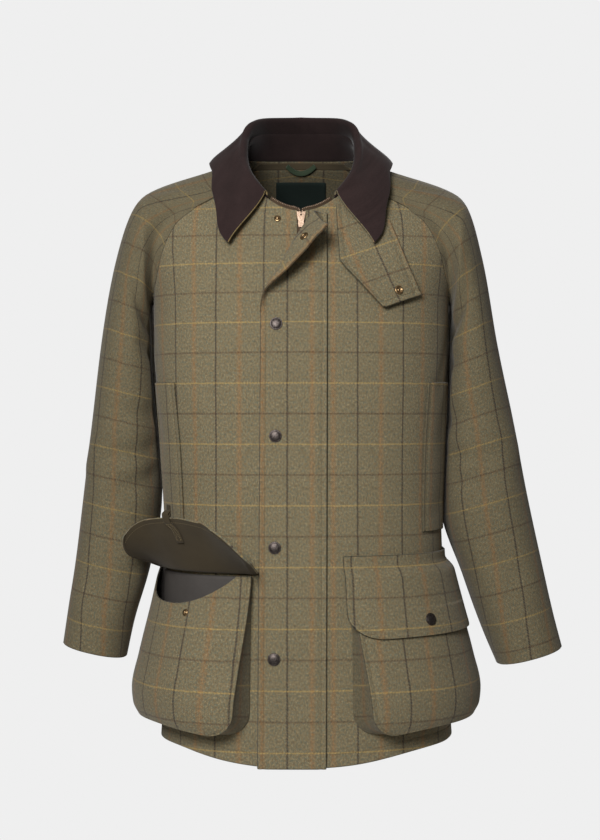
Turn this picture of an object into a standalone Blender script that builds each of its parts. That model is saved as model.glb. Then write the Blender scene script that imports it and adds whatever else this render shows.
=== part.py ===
"""Shooting coat in checked tweed, hollow and filled out as when worn.

Metres, +Z up, front towards -Y, wearer's left towards +X.
The origin lies between the shoulders at the height of the neck seam.
"""
import math

import bmesh
import bpy
import numpy as np
from mathutils import Matrix, Vector

# Cloth walls and seams
CLOTH = 0.0020
DOUBLE = 0.0028
COLLAR_WALL = 0.0024
FACING_WALL = 0.0012
SEAM = 0.0003
SEAT = 0.0004
BODY_SEAT = 0.0009

# Body of the coat
NECK_HEIGHT = 0.018
HEM_HEIGHT = -0.787
UNDERARM_HEIGHT = -0.185
FRONT_EDGE = 0.0058
NECK_SIDE_Q = 1.06
RAGLAN_STEPS = 9
NECK_STEPS = 3
FRONT_STEPS = 12
BACK_STEPS = 10
TILT_POWER = 1.4
HEM_TILT_POWER = 5.0
HEM_TILT_START = -0.50
HEM_TILT_RUN = 0.25
SEAM_Q = 0.0016
SEAM_TRIM = 0.0005
NECK_TRIM_Q = 0.005
SLEEVE_TRIM = 0.006
SLEEVE_CLEAR = 0.0055
CAP_SHARE = 0.22
CAP_STEP = 0.014
CAP_SPAN = (0.27, 0.62)

# Rings of the body from hem to neck: height is taken at the side seam
RING_COLUMNS = ("height", "half_width", "front", "back", "squareness", "front_drop", "back_lift", "sway")
BODY_RINGS = (
    (-0.787, 0.2040, 0.167, 0.152, 2.50, 0.022, 0.000, 0.008),
    (-0.650, 0.1990, 0.163, 0.146, 2.50, 0.004, 0.000, 0.007),
    (-0.500, 0.1930, 0.158, 0.136, 2.45, 0.001, 0.000, 0.004),
    (-0.400, 0.1970, 0.154, 0.132, 2.40, 0.000, 0.000, 0.002),
    (-0.270, 0.2060, 0.150, 0.141, 2.48, 0.003, 0.000, 0.000),
    (-0.185, 0.2070, 0.141, 0.140, 2.42, 0.014, 0.000, 0.000),
    (-0.130, 0.2190, 0.132, 0.132, 2.28, 0.027, 0.000, 0.000),
    (-0.090, 0.2280, 0.123, 0.122, 2.20, 0.042, 0.002, 0.000),
    (-0.055, 0.2240, 0.113, 0.108, 2.15, 0.058, 0.003, 0.000),
    (-0.030, 0.2050, 0.105, 0.093, 2.10, 0.069, 0.004, 0.000),
    (-0.008, 0.1500, 0.099, 0.077, 2.05, 0.077, 0.005, 0.000),
    (0.006, 0.1120, 0.096, 0.068, 2.00, 0.081, 0.005, 0.000),
    (0.018, 0.0820, 0.094, 0.062, 2.00, 0.083, 0.005, 0.000),
)

# Raglan seams: distance out from the middle at each ring height
RAGLAN_COLUMNS = ("height", "front_x", "back_x")
RAGLAN = (
    (-0.185, 0.2070, 0.2070),
    (-0.140, 0.1990, 0.2010),
    (-0.078, 0.1830, 0.1800),
    (-0.047, 0.1710, 0.1640),
    (-0.025, 0.1520, 0.1450),
    (-0.010, 0.1250, 0.1180),
    (0.006, 0.0960, 0.0890),
    (0.018, 0.0775, 0.0690),
)

# Sleeve rings from armhole to cuff: outer and inner edge, front and back depth
SLEEVE_COLUMNS = ("outer_x", "outer_z", "inner_x", "inner_z", "front_y", "back_y", "squareness", "gather")
SLEEVE_RIGHT = (
    (0.2215, -0.036, 0.2110, -0.192, -0.084, 0.094, 2.2, 1.75),
    (0.2590, -0.118, 0.2070, -0.222, -0.074, 0.106, 2.2, 1.40),
    (0.2820, -0.240, 0.2010, -0.270, -0.067, 0.114, 2.3, 1.15),
    (0.2950, -0.350, 0.1960, -0.370, -0.066, 0.112, 2.4, 1.00),
    (0.3065, -0.450, 0.1980, -0.465, -0.062, 0.098, 2.4, 1.00),
    (0.3170, -0.545, 0.2140, -0.558, -0.064, 0.080, 2.4, 1.00),
    (0.3260, -0.615, 0.2345, -0.632, -0.078, 0.058, 2.3, 1.00),
    (0.3320, -0.659, 0.2440, -0.679, -0.078, 0.044, 2.2, 1.00),
)
SLEEVE_LEFT = (
    (0.2240, -0.038, 0.2110, -0.192, -0.084, 0.094, 2.2, 1.75),
    (0.2550, -0.120, 0.2070, -0.222, -0.074, 0.106, 2.2, 1.40),
    (0.2770, -0.240, 0.2010, -0.270, -0.067, 0.114, 2.3, 1.15),
    (0.3000, -0.350, 0.1960, -0.370, -0.066, 0.112, 2.4, 1.00),
    (0.3180, -0.450, 0.1980, -0.470, -0.070, 0.098, 2.4, 1.00),
    (0.3370, -0.545, 0.2290, -0.570, -0.076, 0.078, 2.4, 1.00),
    (0.3530, -0.620, 0.2560, -0.646, -0.078, 0.058, 2.3, 1.00),
    (0.3640, -0.664, 0.2740, -0.689, -0.078, 0.044, 2.2, 1.00),
)

# Collar: roll line above the neck seam and the fall of the leaf's outer edge
COLLAR_FRONT_X = 0.0455
COLLAR_COLUMNS = ("along", "roll_in", "roll_z", "edge_q", "edge_height", "edge_off")
COLLAR = (
    (0.00, 0.000, -0.036, 0.260, -0.071, 0.0110),
    (0.10, 0.000, -0.014, 0.385, -0.024, 0.0110),
    (0.22, 0.003, 0.012, 0.600, -0.007, 0.0110),
    (0.36, 0.008, 0.046, 0.850, 0.001, 0.0100),
    (0.55, 0.011, 0.074, 1.150, 0.001, 0.0090),
    (0.78, 0.005, 0.085, 1.560, -0.005, 0.0090),
    (1.00, 0.001, 0.088, 2.000, -0.010, 0.0090),
)
ROLL_RADIUS = 0.0062
STAND_SHARE = 0.62
STAND_GAP = 0.0006
STAND_LEAN = (0.0, 0.6, 1.0, 1.0)
STAND_LEVELS = (0.0, 0.45, 0.75, 1.0)
ROLL_SHARE = 0.46

# Storm placket over the zip
PLACKET_SEAM_X = 0.0345
PLACKET_EDGE_X = -0.0520
PLACKET_LEAN = 0.0045
PLACKET_TOP = -0.0700
PLACKET_BOTTOM = -0.8095
ROLL_TOP_X = 0.0320
ROLL_END_Z = -0.2120
PLACKET_ROLL = 0.0105
PLACKET_TURN = math.radians(140)
SNAP_INSET = 0.0200
SNAP_HEIGHTS = (-0.2220, -0.3710, -0.5190, -0.6660)

# Zip
TAPE_WIDTH = 0.0052
TAPE_WALL = 0.0011
TAPE_FOOT = -0.7780
SLIDER_TOP = -0.0670
SLIDER_LENGTH = 0.0125
SLIDER_WIDTH = 0.0136
SLIDER_DEPTH = 0.0034
PULL_LENGTH = 0.0195
PULL_WIDTH = 0.0078
PULL_WALL = 0.0011
BAIL_RADIUS = 0.0026
BAIL_BORE = 0.0014
BAIL_WIDTH = 0.0019
PIVOT_PIN = 0.0008

# Press studs
CAP_RADIUS = 0.0085
CAP_HEIGHT = 0.0030
RING_RADIUS = 0.0062
RING_BORE = 0.0030
STUD_RADIUS = 0.0048

# Throat tab on the left front, corners as distance out and height
TAB_TOP = ((0.0480, -0.0560), (0.1200, -0.0780))
TAB_END = ((0.0520, -0.1390), (0.1570, -0.1810))
TAB_POINT = (0.1080, -0.2000)
TAB_OFF = 0.0066

# Bellows pockets, in ring share across and metres down
POCKET_Q = (0.166, 1.075)
POCKET_TOP = -0.556
POCKET_BOTTOM = -0.756
POCKET_CORNER = 0.030
POCKET_NARROW = 0.115
BULGE_COLUMNS = ("down", "off")
BULGE = ((0.00, 0.0085), (0.25, 0.0180), (0.60, 0.0330), (0.82, 0.0410), (0.93, 0.0385), (1.00, 0.0310))
POCKET_ROWS = (0.0, 0.14, 0.28, 0.42, 0.56, 0.70, 0.80, 0.87, 0.92, 0.96, 0.985, 1.0)
GUSSET_FOOT = 0.0020
SCOOP_DEPTH = 0.040
SCOOP_SPAN = (0.07, 0.95)
FLAP_START_Q = 0.140
FLAP_END_Q = 1.040
LIFT_END_Q = 0.910
FLAP_WIDTH = 0.215
FLAP_ROWS = (0.0, 0.12, 0.25, 0.40, 0.55, 0.68, 0.80, 0.89, 0.96, 1.0)
CAP_SPOT = (0.42, 0.81)
FLAP_TOP = -0.530
FLAP_DROP = 0.106
FLAP_CORNER = 0.034
BAND = 0.014
LIFT_ROLL = 0.0052
LIFT_TURN = math.radians(149)
LIFT_TURNS = ((0.0, 104), (0.13, 126), (0.25, 143), (0.40, 149), (0.60, 145), (0.82, 125), (1.0, 104))
LIFT_FORWARD = 0.80
LIFT_HEADING = (-0.55, -0.84, 0.0)
LIFT_LEAN_START = 0.45
FLAP_CLEAR = 0.0012
GUSSET_SAG = 0.10
STRAP_SHARE = 0.40
STRAP_TOP = (-0.1800, -0.4660)
STRAP_WIDTH = 0.0110
STRAP_WALL = 0.0014
STRAP_HOLD = 0.036
STRAP_LANDING = ((0.022, 0.0075), (0.012, 0.0004), (0.0, 0.0))
STUD_SPOT = (0.33, 0.250)

# Hand-warmer welts
WELT_STEPS = 4
WELT_HEIGHTS = (-0.500, -0.298)

# Inside the back of the neck
LABEL_HALF = 0.036
LABEL_HEIGHTS = (-0.062, -0.008)
LOOP_HALF = 0.021
LOOP_SAG = 0.010
LOOP_RADIUS = 0.0016

RIGHT, LEFT = -1.0, 1.0

COLOURS = {
    "tweed": ((0.180, 0.152, 0.092, 1), 0.95, 0.0),
    "collar_cloth": ((0.036, 0.024, 0.022, 1), 0.95, 0.0),
    "olive_cloth": ((0.050, 0.041, 0.027, 1), 0.95, 0.0),
    "pocket_nylon": ((0.062, 0.056, 0.052, 1), 0.75, 0.0),
    "label_cloth": ((0.010, 0.014, 0.012, 1), 0.85, 0.0),
    "loop_cord": ((0.026, 0.032, 0.022, 1), 0.85, 0.0),
    "zip_tape": ((0.100, 0.080, 0.055, 1), 0.90, 0.0),
    "snap_metal": ((0.110, 0.090, 0.075, 1), 0.40, 1.0),
    "brass": ((0.520, 0.330, 0.160, 1), 0.32, 1.0),
    "copper": ((0.600, 0.300, 0.160, 1), 0.30, 1.0),
}


# Smooth tables

def column(rows, names, name):
    """One named column of a table."""
    return np.array([row[names.index(name)] for row in rows])


def smooth(at, knots, values):
    """Cubic through the rows of a table that never overshoots them."""
    at = np.clip(np.asarray(at, dtype=float), knots[0], knots[-1])
    values = np.asarray(values, dtype=float)
    step = np.diff(knots)
    step = step.reshape((-1,) + (1,) * (values.ndim - 1))
    rise = np.diff(values, axis=0) / step
    slope = np.zeros_like(values)
    product = rise[1:] * rise[:-1]
    weight_a = 2 * step[1:] + step[:-1]
    weight_b = step[1:] + 2 * step[:-1]
    tiny = 1e-15
    safe_a = np.where(np.abs(rise[:-1]) < tiny, tiny, rise[:-1])
    safe_b = np.where(np.abs(rise[1:]) < tiny, tiny, rise[1:])
    mean = (weight_a + weight_b) / (weight_a / safe_a + weight_b / safe_b)
    slope[1:-1] = np.where(product > 0, mean, 0.0)
    slope[0] = rise[0]
    slope[-1] = rise[-1]
    cell = np.clip(np.searchsorted(knots, at, side="right") - 1, 0, len(knots) - 2)
    width = np.asarray(knots)[cell + 1] - np.asarray(knots)[cell]
    t = (at - np.asarray(knots)[cell]) / width
    extra = (1,) * (values.ndim - 1)
    t = t.reshape(t.shape + extra)
    width = width.reshape(width.shape + extra)
    h00 = (1 + 2 * t) * (1 - t) ** 2
    h10 = t * (1 - t) ** 2
    h01 = t * t * (3 - 2 * t)
    h11 = t * t * (t - 1)
    return (h00 * values[cell] + h10 * width * slope[cell]
            + h01 * values[cell + 1] + h11 * width * slope[cell + 1])


def ease(t):
    """Soft step from 0 to 1."""
    t = np.clip(t, 0.0, 1.0)
    return t * t * (3 - 2 * t)


def unit(v):
    """Vectors of length one."""
    return v / np.maximum(np.linalg.norm(v, axis=-1, keepdims=True), 1e-12)


# Surface of the body: q is 0 at the centre front, 1 at the side, 2 at the centre back

RING_HEIGHTS = column(BODY_RINGS, RING_COLUMNS, "height")


def ring(name, height):
    """One ring size at any height."""
    return smooth(height, RING_HEIGHTS, column(BODY_RINGS, RING_COLUMNS, name))


def tilt_power(height):
    """How closely the dip of a ring keeps to the middle: closest at the hem."""
    return TILT_POWER + (HEM_TILT_POWER - TILT_POWER) * ease((HEM_TILT_START - height) / HEM_TILT_RUN)


def body(q, height, side):
    """Outer surface of the body of the coat."""
    q = np.asarray(q, dtype=float)
    height = np.asarray(height, dtype=float)
    q, height = np.broadcast_arrays(q, height)
    angle = q * math.pi / 2
    power = 2.0 / ring("squareness", height)
    sine = np.sign(np.sin(angle)) * np.abs(np.sin(angle)) ** power
    cosine = np.abs(np.cos(angle))
    forward = np.cos(angle) > 0
    x = side * ring("half_width", height) * sine + ring("sway", height) * np.sin(angle) ** 2
    y = np.where(forward, -ring("front", height), ring("back", height)) * cosine ** power
    tilt = np.where(forward, -ring("front_drop", height), ring("back_lift", height))
    tilt = tilt * cosine ** tilt_power(height)
    return np.stack([x, y, height + tilt], axis=-1)


def body_normal(q, height, side):
    """Outward direction of the body surface."""
    step_q, step_h = 0.004, 0.0008
    across = body(q + step_q, height, side) - body(q - step_q, height, side)
    up = body(q, height + step_h, side) - body(q, height - step_h, side)
    return side * unit(np.cross(across, up))


def off_body(q, height, side, off):
    """A point of the body surface moved out."""
    off = np.asarray(off, dtype=float)
    return body(q, height, side) + off[..., None] * body_normal(q, height, side)


def q_at_x(x, height, back=False):
    """Place along the ring where the cloth is a given distance out from the middle."""
    share = np.clip(np.abs(x) / ring("half_width", height), 0, 1) ** (ring("squareness", height) / 2)
    q = np.arcsin(share) * 2 / math.pi
    return 2 - q if back else q


def front_place(x, z):
    """Ring place and height of the front at a given distance out and level; x carries its side."""
    height = np.array(z, dtype=float)
    q = np.zeros_like(height)
    for _ in range(40):
        q = q_at_x(x - ring("sway", height) * np.sin(q * math.pi / 2) ** 2, height)
        drop = ring("front_drop", height) * np.cos(q * math.pi / 2) ** tilt_power(height)
        height = np.minimum(0.5 * height + 0.5 * (z + drop), NECK_HEIGHT)
    return q, height


def front(x, z, off):
    """The front of the coat as a sheet over distance out and level, moved out."""
    x = np.asarray(x, dtype=float)
    z = np.asarray(z, dtype=float)
    x, z = np.broadcast_arrays(x, z)
    step = 0.0015

    def place(px, pz):
        q, height = front_place(px, pz)
        return body(q, height, np.where(px < 0, RIGHT, LEFT))

    base = place(x, z)
    across = place(x + step, z) - place(x - step, z)
    up = place(x, z + step) - place(x, z - step)
    normal = unit(np.cross(across, up))
    off = np.broadcast_to(np.asarray(off, dtype=float), x.shape)
    return base + off[..., None] * normal, normal, unit(across), unit(up)


def raglan_x(height, name):
    """Raglan seam, distance out at a ring height."""
    heights = column(RAGLAN, RAGLAN_COLUMNS, "height")
    return smooth(height, heights, column(RAGLAN, RAGLAN_COLUMNS, name))


def raglan_q(height, back):
    """Raglan seam as a ring place."""
    name = "back_x" if back else "front_x"
    q = q_at_x(raglan_x(height, name), height, back)
    return np.where(height <= UNDERARM_HEIGHT + 1e-6, 1.0, q)


# Making solids

def drop_old_objects():
    """Start from an empty file."""
    for item in list(bpy.data.objects):
        bpy.data.objects.remove(item, do_unlink=True)


def collection(name):
    """A collection linked to the scene."""
    found = bpy.data.collections.get(name)
    if found is None:
        found = bpy.data.collections.new(name)
        bpy.context.scene.collection.children.link(found)
    return found


def material(name):
    """Plain material of one slot."""
    found = bpy.data.materials.get(name)
    if found is None:
        colour, roughness, metallic = COLOURS[name]
        found = bpy.data.materials.new(name)
        found.use_nodes = True
        shader = found.node_tree.nodes["Principled BSDF"]
        shader.inputs["Base Color"].default_value = colour
        shader.inputs["Roughness"].default_value = roughness
        shader.inputs["Metallic"].default_value = metallic
        found.diffuse_color = colour
    return found


def add_object(name, mesh, slot):
    """One node of the coat."""
    mesh.materials.append(material(slot))
    item = bpy.data.objects.new(name, mesh)
    collection("shooting_coat").objects.link(item)
    return item


def sheet(name, points, wall, slot, flip=False):
    """A grid of outer points becomes a cloth wall that grows inwards."""
    if flip:
        points = points[:, ::-1]
    rows, columns = points.shape[:2]
    mesh = bpy.data.meshes.new(name)
    work = bmesh.new()
    bmesh.ops.create_grid(work, x_segments=columns - 1, y_segments=rows - 1, size=1.0)
    for vertex in work.verts:
        i = int(round((vertex.co.x + 1) / 2 * (columns - 1)))
        j = int(round((vertex.co.y + 1) / 2 * (rows - 1)))
        vertex.co = points[j, i]
    work.to_mesh(mesh)
    work.free()
    item = add_object(name, mesh, slot)
    thick = item.modifiers.new("wall", "SOLIDIFY")
    thick.thickness = wall
    thick.offset = -1.0
    thick.use_rim = True
    thick.use_even_offset = False
    return item


def turned(name, profile, place, axis, slot, steps=16):
    """A round solid: a closed profile of (radius, height) turned about an axis."""
    mesh = bpy.data.meshes.new(name)
    work = bmesh.new()
    ring_verts = []
    lift = unit(np.asarray(axis, dtype=float))
    helper = np.array([1.0, 0.0, 0.0]) if abs(lift[0]) < 0.8 else np.array([0.0, 0.0, 1.0])
    side_a = unit(np.cross(helper, lift))
    side_b = np.cross(lift, side_a)
    for radius, height in profile:
        if radius < 1e-7:
            ring_verts.append([work.verts.new(place + lift * height)])
            continue
        turn = []
        for k in range(steps):
            angle = 2 * math.pi * k / steps
            out = side_a * math.cos(angle) + side_b * math.sin(angle)
            turn.append(work.verts.new(place + out * radius + lift * height))
        ring_verts.append(turn)
    closed = profile[0][0] > 1e-7
    pairs = list(zip(ring_verts[:-1], ring_verts[1:]))
    if closed:
        pairs.append((ring_verts[-1], ring_verts[0]))
    for low, high in pairs:
        for k in range(steps):
            n = (k + 1) % steps
            if len(low) == 1:
                work.faces.new((low[0], high[n], high[k]))
            elif len(high) == 1:
                work.faces.new((low[k], low[n], high[0]))
            else:
                work.faces.new((low[k], low[n], high[n], high[k]))
    bmesh.ops.recalc_face_normals(work, faces=work.faces)
    work.to_mesh(mesh)
    work.free()
    return add_object(name, mesh, slot)


def tube(name, points, radius, slot):
    """A round cord along a path, ends filled."""
    curve = bpy.data.curves.new(name, "CURVE")
    curve.dimensions = "3D"
    curve.bevel_depth = radius
    curve.bevel_resolution = 1
    curve.use_fill_caps = True
    line = curve.splines.new("POLY")
    line.points.add(len(points) - 1)
    for spot, point in zip(line.points, points):
        spot.co = (point[0], point[1], point[2], 1.0)
    curve.materials.append(material(slot))
    item = bpy.data.objects.new(name, curve)
    collection("shooting_coat").objects.link(item)
    return item


# Fronts and back

def panel_heights():
    """Ring heights of the grid rows: even up the body, then even along the raglan seam."""
    low = np.linspace(HEM_HEIGHT, UNDERARM_HEIGHT, 11)
    fine = np.linspace(UNDERARM_HEIGHT, NECK_HEIGHT - SEAM, 200)
    seam = body(raglan_q(fine, False), fine, LEFT)
    run = np.concatenate([[0], np.cumsum(np.linalg.norm(np.diff(seam, axis=0), axis=1))])
    high = np.interp(np.linspace(0, run[-1], RAGLAN_STEPS + 1), run, fine)
    return np.concatenate([low, high[1:]])


def raglan_edge(heights, side, back, shift):
    """Points of the raglan seam moved within the cloth, towards the sleeve for a positive shift."""
    q = raglan_q(heights, back)
    base = body(q, heights, side)
    along = unit(np.gradient(base, axis=0))
    turn = -side if back else side
    across = turn * np.cross(along, body_normal(q, heights, side))
    moved = base + shift * unit(across)
    least = 2 * SEAM_TRIM if shift < 0 else 3 * SEAM_TRIM
    if back:
        moved[:, 1] = np.maximum(moved[:, 1], least)
    else:
        moved[:, 1] = np.minimum(moved[:, 1], -least)
    return moved


def panel_row(height, back):
    """Ring places of one grid row, from the centre line to the side or raglan seam."""
    end = float(raglan_q(np.array(height), back))
    if back:
        return np.linspace(2.0, end + SEAM_Q, BACK_STEPS + 1)
    start = float(q_at_x(FRONT_EDGE, np.array(height)))
    return np.linspace(start, end - SEAM_Q, FRONT_STEPS + 1)


def raglan_heights():
    """Row heights along the raglan seam, from the underarm to the neck."""
    return panel_heights()[-RAGLAN_STEPS - 1:]


def front_panel(name, side):
    """One front, from the zip to the side and raglan seams."""
    rows = np.array([body(panel_row(height, False), height, side) for height in panel_heights()])
    rows[-RAGLAN_STEPS - 1:, -1] = raglan_edge(raglan_heights(), side, False, -SEAM_TRIM)
    return sheet(name, rows, CLOTH, "tweed", flip=side < 0)


def back_rows(heights, half, inwards):
    """Rows of the back panel's own grid, moved in, half columns each side of the centre."""
    rows = []
    for height in heights:
        q = panel_row(height, True)[:half + 1]
        move = np.full_like(q, -inwards)
        left = off_body(q, np.full_like(q, height), LEFT, move)
        right = off_body(q, np.full_like(q, height), RIGHT, move)
        rows.append(np.concatenate([right[::-1], left[1:]]))
    return np.array(rows)


def back_panel():
    """The back in one piece."""
    rows = back_rows(panel_heights(), BACK_STEPS, 0.0)
    rows[-RAGLAN_STEPS - 1:, 0] = raglan_edge(raglan_heights(), RIGHT, True, -SEAM_TRIM)
    rows[-RAGLAN_STEPS - 1:, -1] = raglan_edge(raglan_heights(), LEFT, True, -SEAM_TRIM)
    return sheet("back_panel", rows, CLOTH, "tweed", flip=True)


# Sleeves

def seam_loop(side, back):
    """Neck edge and raglan seam of one sleeve half, from the shoulder line to the underarm."""
    trim = NECK_TRIM_Q if back else -NECK_TRIM_Q
    seam = raglan_edge(raglan_heights(), side, back, SEAM_TRIM)[::-1]
    top = raglan_heights()[-1]
    corner = float(raglan_q(np.array(top), back))
    neck_q = np.linspace(NECK_SIDE_Q + trim, corner, NECK_STEPS + 1)[:-1]
    neck = body(neck_q, np.full(NECK_STEPS, top), side)
    return np.concatenate([neck, seam])


def clear_of_body(points, side):
    """Keep a sleeve just outside the side of the body where the two would press together."""
    level = points[..., 2]
    deep = np.where(points[..., 1] < 0, ring("front", level), ring("back", level))
    share = np.clip(np.abs(points[..., 1]) / deep, 0, 1)
    power = ring("squareness", level)
    reach = ring("half_width", level) * (1 - share ** power) ** (1 / power)
    reach = reach + side * ring("sway", level) + SEAT
    reach = reach + SLEEVE_CLEAR * ease((UNDERARM_HEIGHT + 0.012 - level) / 0.030)
    limit = np.where(level < UNDERARM_HEIGHT + 0.050, reach, 0.0)
    pressed = points.copy()
    pressed[..., 0] = side * np.maximum(side * points[..., 0], limit)
    return pressed


def sleeve_half(name, table, side, back):
    """Half a raglan sleeve, from the raglan seam over the shoulder to the cuff."""
    seam = seam_loop(side, back)
    share = np.linspace(0, 1, len(seam))
    rings = [seam]
    for row in table:
        size = dict(zip(SLEEVE_COLUMNS, row))
        outer = np.array([side * size["outer_x"], 0.0, size["outer_z"]])
        inner = np.array([side * size["inner_x"], 0.0, size["inner_z"]])
        angle = SLEEVE_TRIM + (math.pi - 2 * SLEEVE_TRIM) * share ** size["gather"]
        power = 2.0 / size["squareness"]
        reach = np.sign(np.cos(angle)) * np.abs(np.cos(angle)) ** power
        depth = np.abs(np.sin(angle)) ** power
        middle_y = (size["front_y"] + size["back_y"]) / 2
        half_y = (size["back_y"] - size["front_y"]) / 2
        turn = 1.0 if back else -1.0
        point = (outer + inner) / 2 + (outer - inner) / 2 * reach[:, None]
        point[:, 1] += middle_y + turn * half_y * depth
        rings.append(point)
    cap = seam + CAP_SHARE * (rings[1] - seam)
    flat = cap.copy()
    flat[NECK_STEPS:] = raglan_edge(raglan_heights(), side, back, SEAM_TRIM + CAP_STEP)[::-1]
    lies_flat = ease((share - CAP_SPAN[0]) / 0.20) * (1 - ease((share - CAP_SPAN[1]) / 0.38))
    cap = cap + lies_flat[:, None] * (flat - cap)
    rings = np.array([rings[0], cap] + rings[1:])
    run = np.concatenate([[0], np.cumsum(np.linalg.norm(np.diff(rings, axis=0), axis=2).mean(axis=1))])
    fine = np.concatenate([
        np.linspace(run[0], run[2], 5)[:-1],
        np.linspace(run[2], run[4], 5)[:-1],
        np.linspace(run[4], run[-1], 9),
    ])
    points = smooth(fine, run, rings)
    points[1:] = clear_of_body(points[1:], side)
    return sheet(name, points, CLOTH, "tweed", flip=(side > 0) == back)


# Collar

def collar_row(along, name):
    """One column of the collar table."""
    return smooth(along, column(COLLAR, COLLAR_COLUMNS, "along"), column(COLLAR, COLLAR_COLUMNS, name))


def collar_sections(along, side):
    """Places and sizes of the collar at shares along the half collar."""
    start = float(q_at_x(COLLAR_FRONT_X, np.array(NECK_HEIGHT)))
    q = start + (2.0 - start) * along
    neck = body(q, np.full_like(q, NECK_HEIGHT), side)
    angle = q * math.pi / 2
    out = unit(np.stack([side * np.sin(angle), -np.cos(angle), np.zeros_like(q)], axis=-1))
    roll = neck - out * collar_row(along, "roll_in")[:, None]
    roll[:, 2] = collar_row(along, "roll_z")
    tall = roll[:, 2] - neck[:, 2]
    radius = np.minimum(ROLL_RADIUS, ROLL_SHARE * tall)
    rise = np.minimum(STAND_SHARE * tall, tall - radius - 0.0015)
    stand = np.column_stack([roll[:, :2], neck[:, 2] + rise])
    return q, neck, stand, roll, radius[:, None], out


def whole_ring(maker, count):
    """Both halves of something that runs from one front end round the back to the other."""
    along = np.linspace(0, 1, count)
    right = maker(along, RIGHT)
    left = maker(along, LEFT)
    return np.concatenate([right, left[::-1][1:]], axis=0)


def collar_stand():
    """The stand, from the neck seam to the leaf."""
    def half(along, side):
        _, neck, stand, _, _, _ = collar_sections(along, side)
        low = neck + np.array([0, 0, STAND_GAP])
        high = np.maximum(stand - np.array([0, 0, SEAM]), low + np.array([-9.0, -9.0, 0.0010]))
        rise = np.column_stack([STAND_LEAN, STAND_LEAN, STAND_LEVELS])
        return low[:, None] + (high - low)[:, None] * rise[None]

    return sheet("collar_stand", whole_ring(half, 14), CLOTH, "collar_cloth", flip=True)


def leaf_half(along, side):
    """Sections of half the leaf, up from the stand, over the roll and down to its edge."""
    q, _, stand, roll, radius, out = collar_sections(along, side)
    up = np.array([0.0, 0.0, 1.0])
    edge_q = collar_row(along, "edge_q")
    edge_height = collar_row(along, "edge_height")
    edge_off = collar_row(along, "edge_off") + COLLAR_WALL
    edge = off_body(edge_q, edge_height, side, edge_off)
    crown = roll - radius * up + radius * out
    section = [stand + np.array([0, 0, SEAM])]
    for turn in np.radians((0, 50, 95, 140)):
        section.append(crown + radius * (-math.cos(turn) * out + math.sin(turn) * up))
    begin = crown + radius * out
    length = np.linalg.norm(edge - begin, axis=1)[:, None]
    chord = unit(edge - begin)
    pull_a = begin + length * 0.33 * unit(0.70 * chord - 0.60 * up + 0.30 * out)
    pull_b = edge - length * 0.30 * chord + 0.006 * out + 0.002 * up
    for t in np.linspace(0, 1, 6):
        point = ((1 - t) ** 3 * begin + 3 * t * (1 - t) ** 2 * pull_a
                 + 3 * t * t * (1 - t) * pull_b + t ** 3 * edge)
        under_q = q + (edge_q - q) * t
        under_h = NECK_HEIGHT + (edge_height - NECK_HEIGHT) * t
        normal = body_normal(under_q, np.minimum(under_h, NECK_HEIGHT - 0.001), side)
        clear = edge_off * ease(0.55 + t) * ease(t / 0.3)
        least = body(under_q, under_h, side) + clear[:, None] * normal
        short = np.maximum(((least - point) * normal).sum(axis=1), 0.0)
        section.append(point + short[:, None] * normal)
    return np.stack(section, axis=1)


def collar_leaf():
    """The leaf of the collar in one piece."""
    return sheet("collar_leaf", whole_ring(leaf_half, 15), COLLAR_WALL, "collar_cloth", flip=True)


# Placket and zip

def placket_points(across, levels):
    """The placket, flat on the fronts below and rolled back towards its seam at the top."""
    level, share = np.meshgrid(levels, across, indexing="ij")
    down = (PLACKET_TOP - level) / (PLACKET_TOP - PLACKET_BOTTOM)
    seam = PLACKET_SEAM_X - PLACKET_LEAN * 0.5 * down
    edge = PLACKET_EDGE_X - PLACKET_LEAN * down
    x = seam + (edge - seam) * share
    foot_start = np.array([ROLL_TOP_X, PLACKET_TOP])
    foot_end = np.array([PLACKET_EDGE_X, ROLL_END_Z])
    line = unit(foot_end - foot_start)
    normal_2d = np.array([line[1], -line[0]])
    beyond = (x - foot_start[0]) * normal_2d[0] + (level - foot_start[1]) * normal_2d[1]
    off = DOUBLE + BODY_SEAT
    flat, _, _, _ = front(x, level, off)
    d = np.maximum(beyond, 0.0)
    base_x = x - d * normal_2d[0]
    base_z = level - d * normal_2d[1]
    base, normal, side_dir, up_dir = front(base_x, base_z, off)
    bend = np.minimum(d / PLACKET_ROLL, PLACKET_TURN)
    rest = np.maximum(d - PLACKET_ROLL * PLACKET_TURN, 0.0)
    inward = PLACKET_ROLL * np.sin(bend) + rest * math.cos(PLACKET_TURN)
    out = PLACKET_ROLL * (1 - np.cos(bend)) + rest * math.sin(PLACKET_TURN)
    away = side_dir * normal_2d[0] + up_dir * normal_2d[1]
    rolled = base + away * inward[..., None] + normal * out[..., None]
    return np.where((beyond > 0)[..., None], rolled, flat)


def placket():
    """Storm placket over the zip."""
    heights = panel_heights()
    levels = heights - ring("front_drop", heights)
    levels = np.concatenate([
        [PLACKET_BOTTOM], levels[(levels > PLACKET_BOTTOM + 0.004) & (levels < -0.235)],
        np.linspace(-0.228, PLACKET_TOP, 11),
    ])
    points = placket_points(np.linspace(0, 1, 10), levels)
    return sheet("placket", points, DOUBLE, "tweed", flip=True)


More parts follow.
